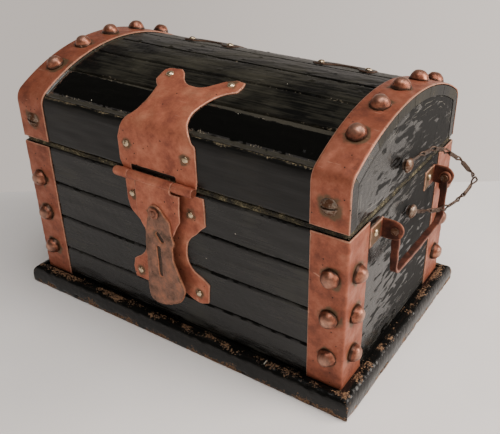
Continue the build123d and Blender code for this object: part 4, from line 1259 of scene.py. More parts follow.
# ---- braid on the rim
@dataclass
class RimBraid:
    """Three-strand braid on a tape along the rim, with frayed ends of thread."""

    outer_x: float = WOOD_W - 0.3
    outer_y: float = WOOD_D - 0.3
    width: float = 4.5
    low: float = BODY_TOP
    high: float = 105.6
    strand: float = 0.62
    plait: float = 5.2  # length of one crossing
    frays: int = 1500

    def ring(self, inset: float, spacing: float) -> tuple[Array, Array]:
        """Stations round the rim at an inset, and the unit vectors away from the trunk.

        Formula: a rectangle with corners of radius 1.5, sampled evenly along its length.
        """
        x, y, r = self.outer_x - inset, self.outer_y - inset, 1.5
        turn = np.linspace(0, math.pi / 2, 6)
        quarter = columns(r * np.cos(turn), r * np.sin(turn))
        corners = []
        for k, (sx, sy) in enumerate(((1, 1), (-1, 1), (-1, -1), (1, -1))):
            c, s = (1, 0, -1, 0)[k], (0, 1, 0, -1)[k]
            corners.append(quarter @ np.array([[c, s], [-s, c]]) + (sx * (x - r), sy * (y - r)))
        loop = np.concatenate(corners)
        closed = np.concatenate([loop, loop[:1]])
        run = np.concatenate([[0], np.cumsum(np.linalg.norm(np.diff(closed, axis=0), axis=1))])
        at = np.linspace(0, run[-1], int(run[-1] / spacing), endpoint=False)
        points = columns(np.interp(at, run, closed[:, 0]), np.interp(at, run, closed[:, 1]))
        ahead = np.roll(points, -1, 0) - np.roll(points, 1, 0)
        ahead /= np.linalg.norm(ahead, axis=1, keepdims=True)
        return points, columns(ahead[:, 1], -ahead[:, 0])

    def tape(self) -> Surface:
        """The flat tape under the strands."""
        points, _ = self.ring(self.width / 2, 2.0)
        middle = np.column_stack([points, np.full(len(points), (self.low + self.high) / 2 - 0.2)])
        high, wide = (self.high - self.low) / 2 - 0.3, self.width / 2 - 0.5
        section = np.array([(-high, -wide), (high, -wide), (high, wide), (-high, wide)])
        return swept(middle, section, UP, True)

    def strands(self) -> Surface:
        """Strands that weave up and down the outer side.

        Formula: height and depth of a strand are a wave and its double, a third of a turn apart
        from strand to strand.
        """
        made = []
        middle = (self.low + self.high) / 2
        lift = (self.high - self.low) / 2 - self.strand
        for k in range(3):
            points, out = self.ring(self.strand + 0.35, 0.62)
            run = np.arange(len(points)) * 0.62
            phase = 2 * math.pi * (run / self.plait + k / 3)
            loose = 0.25 * ripple(points, 9.0, 200 + k)
            shift = 0.38 * np.sin(2 * phase) + 0.2 * loose
            line = np.column_stack(
                [points + out * shift[:, None], middle + lift * 0.95 * np.sin(phase) + 0.3 * loose]
            )
            line[:, 2] = np.clip(line[:, 2], self.low + self.strand * 0.6, self.high - self.strand * 0.6)
            made.append(swept(line, circle(0, 0, self.strand, 7), UP, True))
        return joined(made)

    def fray(self) -> Surface:
        """Loose thread ends: thin three-sided spikes that bend as they leave the braid."""
        rng = np.random.default_rng(5)
        points, out = self.ring(0.7, 0.5)
        pick = rng.integers(0, len(points), self.frays)
        count = self.frays
        root = np.column_stack([points[pick], rng.uniform(self.low + 0.4, self.high - 0.4, count)])
        out3 = np.column_stack([out[pick], np.zeros(count)])
        side = np.cross(UP, out3)
        lean = rng.normal(0, 1.0, (count, 1))
        length = rng.uniform(0.7, 1.9, (count, 1))
        way = out3 * rng.uniform(0.1, 0.6, (count, 1)) + side * lean
        way /= np.linalg.norm(way, axis=1, keepdims=True)
        tip = root + way * length + out3 * 0.2
        bend = (root + tip) / 2 + out3 * rng.uniform(0.0, 0.4, (count, 1))
        bend[:, 2] += rng.normal(0, 0.35, count)
        tip[:, 2] = np.clip(bend[:, 2] + rng.normal(0, 0.5, count), self.low + 0.15, self.high - 0.1)
        bend[:, 2] = np.clip(bend[:, 2], self.low + 0.15, self.high - 0.1)
        turn = np.arange(3) / 3 * 2 * math.pi
        round_way = np.cos(turn)[None, :, None] * side[:, None] + np.sin(turn)[None, :, None] * UP
        body = np.stack(
            [root[:, None] + 0.14 * round_way, bend[:, None] + 0.12 * round_way], 1
        ).reshape(count, 6, 3)
        shape = np.concatenate([body, root[:, None], tip[:, None]], 1)
        quads, tris = tube_faces(2, 3)
        shift = (np.arange(count) * 8)[:, None, None]
        return surface(shape.reshape(-1, 3), quads[None] + shift, tris[None] + shift)

    def make(self) -> None:
        """Makes the braid."""
        braid = self.tape() + self.strands() + self.fray()
        show(braid, "rim_braid_plaited", Finish.BRAID, "chest", "braid", "rim_braid", crease=180.0)


# ---- the lid's wood
@dataclass
class LidWood:
    """Front and back rails, six slats over the dome, and the two dome-shaped ends."""

    pitch: float = 21.2
    shoulder_joint: float = DOME_RUN + 1.85  # run from the apex to the joint in each shoulder
    panel_end: float = 86.0  # where a slat's raised face stops at the left; at the right it runs on
    strap_edge: float = 88.5
    recess: float = 0.9  # how far the ledges lie below the faces
    crack: float = 0.35

    def slat(self, low: float, high: float, ledges: tuple[float, float], seed: int) -> Surface:
        """One slat: a raised face with worn, rounded corners between lower ledges.

        Formula of the height: minus the recess outside the face's outline and zero inside, with a
        smooth slope half a millimetre wide between them, and the outline wandering by ripples.
        """

        def relief(at: Array, depth: Array) -> tuple[Array, Array]:
            """Height of the face and its ledges."""
            x, run = at[:, 0], at[:, 1]
            wide = ledges[1] * (1.1 + 0.5 * x / self.panel_end)
            from_low, from_high = run - low - ledges[0], high - wide - run
            from_end = np.minimum(self.panel_end + x, self.strap_edge + 5.0 - x)
            inner = np.minimum(from_low, from_high)
            corner = 3.0 - np.hypot(np.clip(3.0 - inner, 0, None), np.clip(3.0 - from_end, 0, None))
            inside = np.where((inner < 3.0) & (from_end < 3.0), corner, np.minimum(inner, from_end))
            inside = inside + 0.22 * ripple(at, 7.0, seed) + 0.1 * ripple(at, 2.2, seed + 1)
            under_strap = (x > self.strap_edge + 0.3) | (x < -self.strap_edge + 0.2)
            height = -self.recess * (1 - step(inside, -0.5, 0.25))
            height = height + 0.09 * ripple(at * (0.3, 1.0), 7.0, seed + 2)
            height = height + 0.05 * ripple(at, 3.0, seed + 3) - 0.08
            blobs = 0.5 * np.clip(ripple(at, 8.0, seed + 4) - 1.05, 0, 1) * step(inside, 1.0, 2.0)
            height = np.where(under_strap, -0.05, height + blobs)
            sunk = (inside < 0) & ~under_strap
            return height, np.where(sunk, inside - 0.05, np.minimum(np.abs(inside) + 0.05, depth + 0.4))

        loop = rectangle(-WOOD_W, WOOD_W, low + self.crack / 2, high - self.crack / 2)
        return board(loop, over_lid(-SHEET), 0.85, 0.5, relief, seed)

    def rail(self, way: int, seed: int) -> Surface:
        """A front or back rail: the lid's straight wall and the start of its shoulder."""
        top, bottom = self.shoulder_joint, wall_run(LID_BOTTOM)

        def relief(at: Array, depth: Array) -> tuple[Array, Array]:
            """A worn, rounded upper edge and plane marks."""
            from_top = np.abs(at[:, 1]) - top - 0.2
            height = -0.9 * (1 - step(from_top + 0.2 * ripple(at, 6.0, seed), -0.2, 1.5))
            height = height + 0.1 * ripple(at * (0.25, 1.0), 8.0, seed + 1) - 0.05
            height = np.where(np.abs(at[:, 0]) > self.strap_edge - 0.2, -0.04, height)
            return height, np.minimum(from_top * 0.55, (bottom - np.abs(at[:, 1])) + 0.5)

        ends = sorted((way * (top + self.crack / 2), way * bottom))
        loop = rectangle(-WOOD_W, WOOD_W, *ends)
        return board(loop, over_lid(-SHEET), 0.85, 0.5, relief, seed)

    def end(self, side: Side, seed: int) -> Surface:
        """A dome-shaped end, let in under the slats."""
        inset = SHEET + BOARD + 0.15
        runs = np.linspace(-wall_run(SHOULDER_Z - 0.01), wall_run(SHOULDER_Z - 0.01), 60)
        arch = over_lid(-inset)(np.zeros(60), runs, np.zeros(60))[:, 1:]
        half = HALF_D - inset
        loop = path([(-half, LID_BOTTOM)], arch, [(half, LID_BOTTOM)]) * (side.along[1], 1.0)
        if side.along[1] > 0:
            loop = loop[::-1]
        return board(loop, on_wall(side, WOOD_W), 0.85, 0.3, brushed(seed, 5.0, 0.3, -0.15), seed)

    def make(self) -> None:
        """Makes the ten boards of the lid."""
        for way, name in ((-1, "front"), (1, "back")):
            show(
                self.rail(way, 300 + way), f"painted_lid_{name}_rail", Finish.RAIL, "lid",
                "painted_boards", f"lid_{name}_rail"
            )
        joints = [-self.shoulder_joint, *(
            lid_run(i * self.pitch) for i in range(-2, 3)
        ), self.shoulder_joint]
        ledges = ((3.2, 2.6), (0.5, 0.35), (0.35, 0.8), (0.5, 0.35), (0.35, 0.5), (0.6, 2.6))
        for number, (low, high) in enumerate(zip(joints, joints[1:]), start=1):
            finish = Finish.WET_SLAT if number == 1 else Finish.SLAT
            made = self.slat(low, high, ledges[number - 1], 320 + 10 * number)
            show(made, f"painted_slat_{number}", finish, "lid", "painted_boards", f"lid_slat_{number}")
        for side in (Side.LEFT, Side.RIGHT):
            name = f"lid_end_{side.name.lower()}"
            show(
                self.end(side, 400 + list(Side).index(side)), f"painted_{name}", Finish.END, "lid",
                "painted_boards", name
            )


# ---- lid straps
@dataclass
class LidStraps:
    """Copper straps over the lid's ends, with five nails and two slotted screws in each."""

    inner: float = 88.5
    outer: float = WOOD_W + 0.2
    stud_x: float = 99.0
    stud_y: tuple[float, ...] = (-43.0, -19.0, 5.0, 29.0, 53.0)
    screw_x: float = 98.5
    screw_z: float = 118.0
    screw_radius: float = 4.7
    screw_height: float = 2.1
    slot: float = 1.2
    slot_depth: float = 1.1

    def strap(self, way: int, seed: int) -> Surface:
        """One strap from edge to edge of the lid."""
        ends = sorted((way * self.inner, way * self.outer))
        nails = [(way * self.stud_x, lid_run(y)) for y in self.stud_y]
        nails += [(way * self.screw_x, s * wall_run(self.screw_z)) for s in SIDES]
        loop = rectangle(*ends, -LID_RUN, LID_RUN)
        return Sheet([loop], over_lid(), cell=0.65, nails=np.array(nails), seed=seed, wobble=0.15).make()

    def screw(self, way: int, side: Side, turn: float) -> Surface:
        """One slotted round-head screw.

        Formula of the height: a sphere's cap over a short rim, with a level slot cut across it.
        """
        radius, rise = self.screw_radius, self.screw_height
        sphere = (radius**2 + rise**2) / (2 * rise)

        def relief(at: Array, depth: Array) -> tuple[Array, Array]:
            """Height of the cap and its slot."""
            far = np.hypot(at[:, 0], at[:, 1])
            cap = rise - sphere + np.sqrt(np.clip(sphere**2 - far**2, 0, None))
            return np.where(np.abs(at[:, 1]) < self.slot / 2, cap - self.slot_depth, cap), depth

        c, s = math.cos(math.radians(turn)), math.sin(math.radians(turn))
        base = on_wall(side, HALF_D)
        middle = way * self.screw_x * side.along[0]

        def wrap(u: Array, v: Array, h: Array) -> Array:
            """The head's own coordinates, turned and moved to its place on the strap."""
            return base(middle + c * u - s * v, self.screw_z + s * u + c * v, np.maximum(h, -0.1))

        return Sheet(
            [circle(0, 0, radius, 40)], wrap, 0.1, cell=0.3, wobble=0.05, wave=4.0, rim=0.25, hammer=0.0,
            relief=relief
        ).make()

    def make(self, profile: Array) -> None:
        """Makes both straps, their nails and their screws.

        Args:
            profile: the nails' profile, the same as on the corner straps.
        """
        for way, name in ((-1, "left"), (1, "right")):
            show(
                self.strap(way, 500 + way), f"copper_lid_strap_{name}", Finish.STRAP, "lid",
                "copper_sheet", f"lid_strap_{name}"
            )
        spots = [(way * self.stud_x, lid_run(y)) for way in SIDES for y in self.stud_y]
        runs = np.array(spots)
        places = over_lid()(runs[:, 0], runs[:, 1], np.zeros(len(runs)))
        normals = over_lid()(runs[:, 0], runs[:, 1], np.ones(len(runs))) - places
        studs = turned(profile, places, normals, 0.2, 9)
        show(studs, "lid_nails", Finish.STUD, "lid", "copper_studs", "lid_strap_studs", crease=50.0)
        turns = (
            (1, Side.FRONT, 4.0), (-1, Side.FRONT, -12.0), (1, Side.BACK, 30.0), (-1, Side.BACK, -50.0)
        )
        made = joined(self.screw(*row) for row in turns)
        show(made, "slotted_screw_heads", Finish.SCREW, "lid", "slotted_screws", "lid_strap_screws")


PIN_PROFILE = np.array(
    [(0, -0.1), (2.0, -0.1), (2.15, 0.1), (2.0, 0.5), (1.5, 0.9), (0.8, 1.2), (0, 1.28)]
)


# ---- hasp
@dataclass
class Hasp:
    """Lid plate with two horns, hinged leaf, riveted tongue and body plate."""

    barrel: float = 2.8
    barrel_y: float = WOOD_D + 2.8
    barrel_z: float = 103.6
    knuckle: tuple[float, float] = (-22.6, 7.8)
    play: float = 0.3
    left_end: float = -34.0
    right_end: float = 21.6
    left: float = -30.5
    right: float = 22.5
    notch_top: float = 108.8
    leaf_sheet: float = 0.9
    leaf_front: float = WOOD_D + 5.6
    tongue_sheet: float = 1.4
    tongue_back: float = WOOD_D + 5.75
    rivet: tuple[float, float] = (-3.6, 86.6)

    def lid_outline(self) -> Array:
        """Outline (x, run) of the lid plate, with the notch for the leaf's knuckle."""
        horns = path(
            curve(
                (22.5, -67.0), (18.9, -66.0), (13.4, -60.3), (11.6, -53.0), (14.4, -45.0), (19.1, -37.9),
                (25.6, -33.0)
            ),
            [(25.6, -33.0), (26.0, -28.5), (24.8, -24.3), (19.6, -23.4)],
            curve(
                (13.6, -26.4), (9.6, -31.0), (4.1, -35.2), (-3.9, -35.6), (-9.6, -32.2), (-14.2, -26.2)
            ),
            [
                (-14.2, -26.2), (-17.9, -23.4), (-25.6, -24.4), (-27.4, -26.6), (-26.8, -36.2),
                (-21.9, -41.0)
            ],
            curve((-21.9, -41.0), (-20.8, -50.0), (-22.2, -58.5), (-27.8, -66.8)),
        )
        horns[:, 1] = [lid_run(max(y, -HALF_D)) for y in horns[:, 1]]
        low, notch = -wall_run(self.barrel_z + 1.0), -wall_run(self.notch_top)
        a, b = self.knuckle[0] - self.play, self.knuckle[1] + self.play
        foot = [(self.left, -wall_run(SHOULDER_Z - 5)), (self.left, -wall_run(110.0))]
        foot += [(-28.6, low), (a, low), (a, notch)]
        foot += [(b, notch), (b, low), (self.right_end, low), (self.right, -wall_run(110.0))]
        foot += [(self.right, -wall_run(SHOULDER_Z))]
        return path(horns, foot)

    def barrel_piece(self, start: float, stop: float, round_left: bool, seed: int) -> Surface:
        """A rolled knuckle from start to stop along x, with the seam of its roll.

        Formula: radius over x is the barrel's, rounded off at the ends, less a narrow groove where
        the sheet's edge meets itself.
        """
        steps = np.linspace(start, stop, max(int((stop - start) / 0.6), 4))
        nose = self.barrel if round_left else 0.25
        from_left = np.clip((steps - start) / nose, 0, 1)
        from_right = np.clip((stop - steps) / 0.25, 0, 1)
        fall = np.sqrt(1 - (1 - from_left) ** 2) if round_left else 0.9 + 0.1 * from_left
        size = self.barrel * fall * (0.9 + 0.1 * from_right)
        count = 36
        turn = np.arange(count) / count * 2 * math.pi
        around = np.abs((turn - math.radians(205) + math.pi) % (2 * math.pi) - math.pi)
        seam = 0.28 * np.exp(-((around / 0.09) ** 2))
        at = columns(steps[:, None], 3 * turn).reshape(-1, 2)
        dents = 0.08 * ripple(at, 5.0, seed).reshape(len(steps), count)
        size = np.maximum(size[:, None] - seam[None] + dents - 0.06, 0.05)
        points = columns(
            steps[:, None], -self.barrel_y - size * np.cos(turn), self.barrel_z + size * np.sin(turn)
        )
        ends = np.array([(x, -self.barrel_y, self.barrel_z) for x in (start, stop)])
        quads, tris = tube_faces(*size.shape)
        edge = np.broadcast_to(np.minimum(steps - start, stop - steps)[:, None] + 0.2, size.shape).ravel()
        return surface(
            np.concatenate([points.reshape(-1, 3), ends]),
            quads[:, ::-1],
            tris[:, ::-1],
            edge=np.concatenate([edge, [FAR, FAR]]),
        )

    def lid_plate(self) -> Surface:
        """The plate over the front rail and the first two slats, with its two knuckles."""
        nails = [(x, -wall_run(120.5)) for x in (-24.4, 15.9)]
        nails += [(-21.5, lid_run(-30.0)), (19.0, lid_run(-29.0))]

        def relief(at: Array, depth: Array) -> tuple[Array, Array]:
            """A dent line where the sheet was beaten over the shoulder."""
            crease = np.exp(-(((at[:, 1] + DOME_RUN + 3.0 + 0.8 * ripple(at, 12.0, 3)) / 0.7) ** 2))
            return -0.12 * crease * (at[:, 0] < -8.0), depth

        plate = Sheet(
            [self.lid_outline()], over_lid(), cell=0.5, wobble=0.12, wave=8.0, nails=np.array(nails),
            relief=relief, hammer=0.1, dent=9.0, seed=600
        ).make()
        a, b = self.knuckle[0] - self.play, self.knuckle[1] + self.play
        plate = plate + self.barrel_piece(self.left_end, a, True, 601)
        return plate + self.barrel_piece(b, self.right_end, False, 602)

    def body_plate(self) -> Surface:
        """The plate on the front planks, behind the leaf and the tongue."""
        outline = path(
            [(26.2, 84.0), (26.2, 100.6), (-28.2, 100.6)],
            curve(
                (-28.2, 86.0), (-26.2, 79.4), (-18.6, 72.2), (-17.2, 64.0), (-18.4, 55.6), (-21.6, 50.6),
                (-28.4, 45.2)
            ),
            [(-28.4, 45.2), (-30.2, 39.4), (-28.8, 32.4)],
            curve(
                (-19.6, 32.2), (-12.0, 35.6), (-2.0, 38.6), (8.0, 35.0), (14.0, 32.4), (19.8, 31.2),
                (25.4, 33.2)
            ),
            [(25.4, 33.2), (26.8, 46.0)],
            curve(
                (23.6, 48.4), (16.0, 52.6), (12.6, 58.6), (12.4, 65.6), (14.6, 71.8), (20.0, 77.6),
                (26.2, 84.0)
            ),
        )
        nails = np.array([(-24.1, 90.3), (16.8, 88.8), (-24.2, 38.3), (19.0, 38.0)])
        holes = [circle(-3.0, z, 0.95, 12) for z in (48.0, 62.0)]
        return Sheet(
            [outline, *holes], on_wall(Side.FRONT, HALF_D), cell=0.5, wobble=0.1, wave=8.0, nails=nails,
            hammer=0.1, dent=9.0, seed=610
        ).make()

    def leaf(self) -> Surface:
        """The hinged leaf and its knuckle."""
        top = self.barrel_z
        shelf = self.barrel_z - self.barrel - 0.4
        outline = path(
            [(-17.0, top - 0.6), (-17.0, shelf), (-17.4, 84.5)],
            curve(
                (-17.4, 84.5), (-15.8, 78.5), (-12.6, 73.6), (-7.0, 70.0), (0.0, 69.6), (6.2, 73.0),
                (9.4, 78.6)
            ),
            [(9.4, 78.6), (12.6, 84.4), (13.6, shelf)],
            [(self.knuckle[1] - 0.3, shelf), (self.knuckle[1] - 0.3, top - 0.6)],
        )
        rivet = circle(*self.rivet, 1.45, 14)
        sheet = Sheet(
            [outline, rivet], on_wall(Side.FRONT, self.leaf_front), self.leaf_sheet, cell=0.5, wobble=0.1,
            wave=8.0, rim=0.3, hammer=0.08, dent=8.0, nails=np.array([self.rivet]) - 3.0, seed=620
        ).make()
        return sheet + self.barrel_piece(*self.knuckle, False, 621)

    def tongue(self) -> Surface:
        """The riveted tongue: a slanting hole, a slot for the staple and a round, dished end."""
        outline = path(
            curve((-8.8, 84.6), (-7.6, 89.0), (-3.6, 91.2), (0.4, 89.2), (2.6, 86.6)),
            [(2.6, 86.6), (6.4, 83.2), (6.9, 76.6), (8.6, 70.2), (7.0, 66.4), (6.8, 59.0)],
            curve(
                (10.6, 48.4), (13.6, 40.6), (10.6, 32.4), (2.6, 27.0), (-6.0, 24.6), (-12.4, 26.8),
                (-13.8, 33.6)
            ),
            [(-13.8, 33.6), (-12.6, 52.0), (-12.4, 64.0), (-11.8, 70.5)],
        )

        def relief(at: Array, depth: Array) -> tuple[Array, Array]:
            """A dished round end, a ridge beside the slot and a beaten face."""
            dish = -0.45 * np.exp(-(((at[:, 0] + 1.6) ** 2 + (at[:, 1] - 35.0) ** 2) / 40.0))
            beside = step(at[:, 1], 44, 50) * step(at[:, 1], 66, 60)
            ridge = 0.3 * np.exp(-(((at[:, 0] - 2.0) / 1.6) ** 2)) * beside
            return dish + ridge - 0.3, depth

        holes = [circle(*self.rivet, 1.75, 14), slot_hole(
            -1.4, 71.4, 7.0, 3.0, -55
        ), slot_hole(-3.0, 55.0, 20.5, 2.6, 90)]
        return Sheet(
            [outline, *holes], on_wall(Side.FRONT, self.tongue_back + self.tongue_sheet),
            self.tongue_sheet, cell=0.45, wobble=0.15, wave=6.0, rim=0.45, hammer=0.14, dent=5.0,
            relief=relief, seed=630
        ).make()

    def rivet_head(self) -> Surface:
        """A flat washer-like head with a small domed middle, its foot turned over behind the leaf."""
        top = self.tongue_back + self.tongue_sheet + 0.3 - (self.leaf_front - self.leaf_sheet)
        profile = [
            (0, 0), (1.3, 0), (1.35, top), (3.3, top), (3.5, top + 0.35), (3.0, top + 0.75),
            (2.3, top + 0.8)
        ]
        profile += [(1.9, top + 0.55), (1.5, top + 1.1), (0.8, top + 1.45), (0, top + 1.55)]
        place = np.array([(self.rivet[0], -(self.leaf_front - self.leaf_sheet), self.rivet[1])])
        return turned(np.array(profile), place, np.array([(0, -1.0, 0)]), 0.08, 640)

    def make(self) -> None:
        """Makes the hasp's plates, leaf, tongue and rivet, and dark sheets in the tongue's slots as
        painted shade.
        """
        show(
            self.lid_plate(), "copper_hasp_lid_plate", Finish.PLATE, "lid", "copper_sheet",
            "hasp_lid_plate"
        )
        show(
            self.body_plate(), "copper_hasp_body_plate", Finish.PLATE, "chest", "copper_sheet",
            "hasp_body_plate"
        )
        show(self.leaf(), "copper_hasp_leaf", Finish.PLATE, "hasp", "copper_sheet", "hasp_leaf")
        show(self.tongue(), "copper_hasp_tongue", Finish.TONGUE, "tongue", "worn_copper", "hasp_tongue")
        # dark sheets that fill the tongue's two slots just inside its back face: painted shade in the
        # slots' depth, in the blackened copper finish
        for number, hole in enumerate(
            (slot_hole(-1.4, 71.4, 7.6, 3.6, -55), slot_hole(-3.0, 55.0, 21.0, 3.2, 90)), 1
        ):
            lid = Sheet(
                [hole], on_wall(Side.FRONT, self.tongue_back + 0.32), 0.3, cell=0.5, hammer=0.0, rim=0.05
            ).make()
            show(lid, f"old_grease_{number}", Finish.SOOTY, "tongue", "worn_copper")
        show(self.rivet_head(), "hasp_rivet_head", Finish.STUD, "hasp", "worn_copper", "hasp_rivet")


# ---- back hinges
@dataclass
class Hinges:
    """Two back hinges: horned leaves on the lid, and leaves on the upper planks."""

    centres: tuple[float, float] = (-38.0, 55.0)
    half: float = 16.0
    middle: float = 5.2
    play: float = 0.3
    barrel: float = 2.8
    bore: float = 1.2
    barrel_y: float = WOOD_D + 2.8
    barrel_z: float = 104.25

    def lid_outline(self, centre: float) -> Array:
        """Outline (x, run) of a lid leaf: two horns over the lid and a foot on the middle knuckle."""
        right = path(
            [(self.middle, -105.0), (self.middle, -106.8), (14.0, -106.8), (14.0, -SHOULDER_Z)],
            [(14.0, 67.0)],
            curve((14.0, 66.0), (9.5, 56.0), (9.5, 46.0), (17.5, 35.5)),
            [(17.5, 35.5), (18.5, 27.0), (16.0, 24.5)],
            curve((11.0, 26.0), (6.5, 32.5), (0.3, 34.5)),
        )
        # heights on the wall are given as negative numbers, places over the dome as y
        runs = [wall_run(-v) if v < 0 else lid_run(min(v, HALF_D)) for v in right[:, 1]]
        right = columns(right[:, 0], runs)
        return np.concatenate([right, right[::-1] * (-1, 1)]) + (centre, 0)

    def knuckles(self, centre: float, spans: Sequence[tuple[float, float]]) -> Surface:
        """Rolled tubes about the hinge's axis, with a hole for the pin."""
        made = []
        for start, stop in spans:
            at = np.array([(centre + start, self.barrel_y, self.barrel_z)])
            r, b, n = self.barrel, self.bore, stop - start
            profile = [
                (0, 0.3), (b, 0.3), (b, 0), (r - 0.2, 0), (r, 0.25), (r, n / 2), (r, n - 0.25),
                (r - 0.2, n)
            ]
            profile += [(b, n), (b, n - 0.3), (0, n - 0.3)]
            one = turned(np.array(profile), at, np.array([(1.0, 0, 0)]), 0.05, 700)
            one.edge[:] = 2.0
            made.append(one)
        return joined(made)

    def make(self) -> None:
        """Makes both hinges."""
        outer = ((-self.half, -self.middle - self.play), (self.middle + self.play, self.half))
        for seed, (centre, name) in enumerate(zip(self.centres, ("left", "right")), start=710):
            horns = [(centre + s * 14.6, lid_run(30.0)) for s in SIDES]
            walls = [(centre + s * 11.0, wall_run(118.0)) for s in SIDES]
            lid_leaf = Sheet(
                [self.lid_outline(centre)], over_lid(), cell=0.6, wobble=0.12,
                nails=np.array(horns + walls), seed=seed
            ).make()
            lid_leaf = lid_leaf + self.knuckles(centre, [(-self.middle, self.middle)])
            show(
                lid_leaf, f"copper_hinge_lid_{name}", Finish.SOOTY, "lid", "copper_sheet",
                f"hinge_leaf_lid_{name}"
            )
            right = path(
                [
                    (self.middle + 0.3, 101.7), (self.middle + 0.3, 103.5), (self.half, 103.5),
                    (self.half, 101.7)
                ],
                [(14.0, 101.7)],
                curve((14.0, 88.0), (9.5, 81.0), (15.0, 73.0)),
                [(15.0, 73.0), (15.0, 64.0), (0.3, 67.0)],
            )
            outline = np.concatenate([right, right[::-1] * (-1, 1)]) + (-centre, 0)
            nails = [(-centre + s * 11.0, z) for s in SIDES for z in (94.0, 69.0)]
            leaf = Sheet(
                [outline], on_wall(Side.BACK, HALF_D), cell=0.6, wobble=0.1, nails=np.array(nails),
                seed=seed + 5
            ).make()
            leaf = leaf + self.knuckles(centre, outer)
            show(
                leaf, f"copper_hinge_chest_{name}", Finish.PLATE, "chest", "copper_sheet",
                f"hinge_leaf_chest_{name}"
            )


# ---- bail handles
@dataclass
class Handles:
    """A bail of flat strip at each end, between two brackets with standing ears."""

    ears: tuple[float, float] = (-30.0, 40.0)
    feet: tuple[tuple[float, float], tuple[float, float]] = ((-43.5, -29.5), (26.5, 40.5))
    ear_thick: float = 1.0
    ear_reach: float = 12.2
    ear_half: float = 5.5
    pivot_z: float = 92.0
    pivot_out: float = 7.8
    drop: float = 27.5
    thick: float = 1.8
    width: float = 4.0
    bend: float = 6.0
    play: float = 0.3
    eye: float = 3.2

    def bracket(self, side: Side, number: int, seed: int) -> tuple[Surface, Surface]:
        """A foot nailed to the end board, and the D-shaped ear that stands on it."""
        low, high = self.feet[number]
        way = side.along[1]
        foot = rectangle(
            *sorted((way * low, way * high)), self.pivot_z - self.ear_half, self.pivot_z + self.ear_half
        )
        nail = np.array([(way * (-38.0, 31.5)[number], 93.0)])
        made = Sheet(
            [foot], on_wall(side, HALF_W), cell=0.5, wobble=0.3, wave=5.0, nails=nail, seed=seed
        ).make()
        turn = np.linspace(-math.pi / 2, math.pi / 2, 14)
        nose = self.ear_reach - self.ear_half
        arc = columns(nose + self.ear_half * np.cos(turn), self.pivot_z + self.ear_half * np.sin(turn))
        ear = path([(0.0, self.pivot_z + self.ear_half), (0.0, self.pivot_z - self.ear_half)], arc)
        hole = circle(self.pivot_out, self.pivot_z, 1.2, 14)
        out, y = side.out[0], self.ears[number]
        stand = upright((out * WOOD_W, y - out * self.ear_thick / 2, 0), (out, 0, 0), (0, -out, 0))
        ears = Sheet(
            [ear, hole], stand, self.ear_thick, cell=0.45, wobble=0.12, wave=6.0, rim=0.25, hammer=0.06,
            dent=4.0, seed=seed + 1
        ).make()
        return made, ears

    def bail(self, side: Side) -> Surface:
        """The bail: a flat strip bent to a U, a little dished by use, with an eye at each end."""
        out = side.out[0]
        x = out * (WOOD_W + self.pivot_out)
        y0 = self.ears[0] + self.ear_thick / 2 + self.play + self.thick / 2
        y1 = self.ears[1] - self.ear_thick / 2 - self.play - self.thick / 2
        low, r = self.pivot_z - self.drop, self.bend
        turn = np.linspace(0, math.pi / 2, 10)
        first = columns(y0 + r - r * np.cos(turn), low + r - r * np.sin(turn))
        second = columns(y1 - r + r * np.sin(turn), low + r - r * np.cos(turn))
        down = columns(y0, np.linspace(self.pivot_z - 2.2, low + r + 0.5, 12))
        grip = columns(np.linspace(y0 + r + 1, y1 - r - 1, 40), low)
        line = np.concatenate([down, first, grip, second, down[::-1] * (0, 1) + (y1, 0)])
        line = np.column_stack([np.full(len(line), x), line])
        w, t = self.width / 2, self.thick / 2
        section = np.array(
            [
                (-w, -t * 0.6), (-w * 0.8, -t), (w * 0.8, -t), (w, -t * 0.6), (w, t * 0.6), (w * 0.8, t),
                (-w * 0.8, t), (-w, t * 0.6)
            ]
        )
        wear = 0.07 * ripple(line, 9.0, 800)
        section = section[None] * (1 + wear[:, None, None])
        made = swept(line, section, np.array((1.0, 0, 0)))
        made.edge[:] = np.tile(
            np.array([0.3, 1.0, 1.0, 0.3, 0.3, 1.0, 1.0, 0.3]), len(line)
        ).tolist() + [1.0, 1.0]
        ring = [circle(x, self.pivot_z, self.eye, 24), circle(x, self.pivot_z, 1.2, 14)]
        for y in (y0, y1):
            stand = upright((0, y - self.thick / 2, 0), (1, 0, 0), (0, -1, 0))
            made = made + Sheet(
                ring, stand, self.thick, cell=0.4, wobble=0.05, wave=5.0, rim=0.3, hammer=0.03, dent=4.0,
                seed=801
            ).make()
        return made

    def make(self) -> None:
        """Makes both handles."""
        for side in (Side.LEFT, Side.RIGHT):
            across = side.name.lower()
            for number, depth in enumerate(("front", "back")):
                foot, ear = self.bracket(side, number, 810 + number)
                show(
                    foot, f"copper_bracket_foot_{across}_{depth}", Finish.STRAP, "chest", "worn_copper",
                    f"handle_bracket_{across}_{depth}"
                )
                # the ears take the dark finish while their feet keep the straps' copper: painted shade on
                # the ears
                show(ear, f"copper_bracket_ear_{across}_{depth}", Finish.HANDLE, "chest", "worn_copper")
            show(
                self.bail(side), f"copper_bail_{across}", Finish.HANDLE, f"bail_{across}", "worn_copper",
                f"bail_{across}"
            )


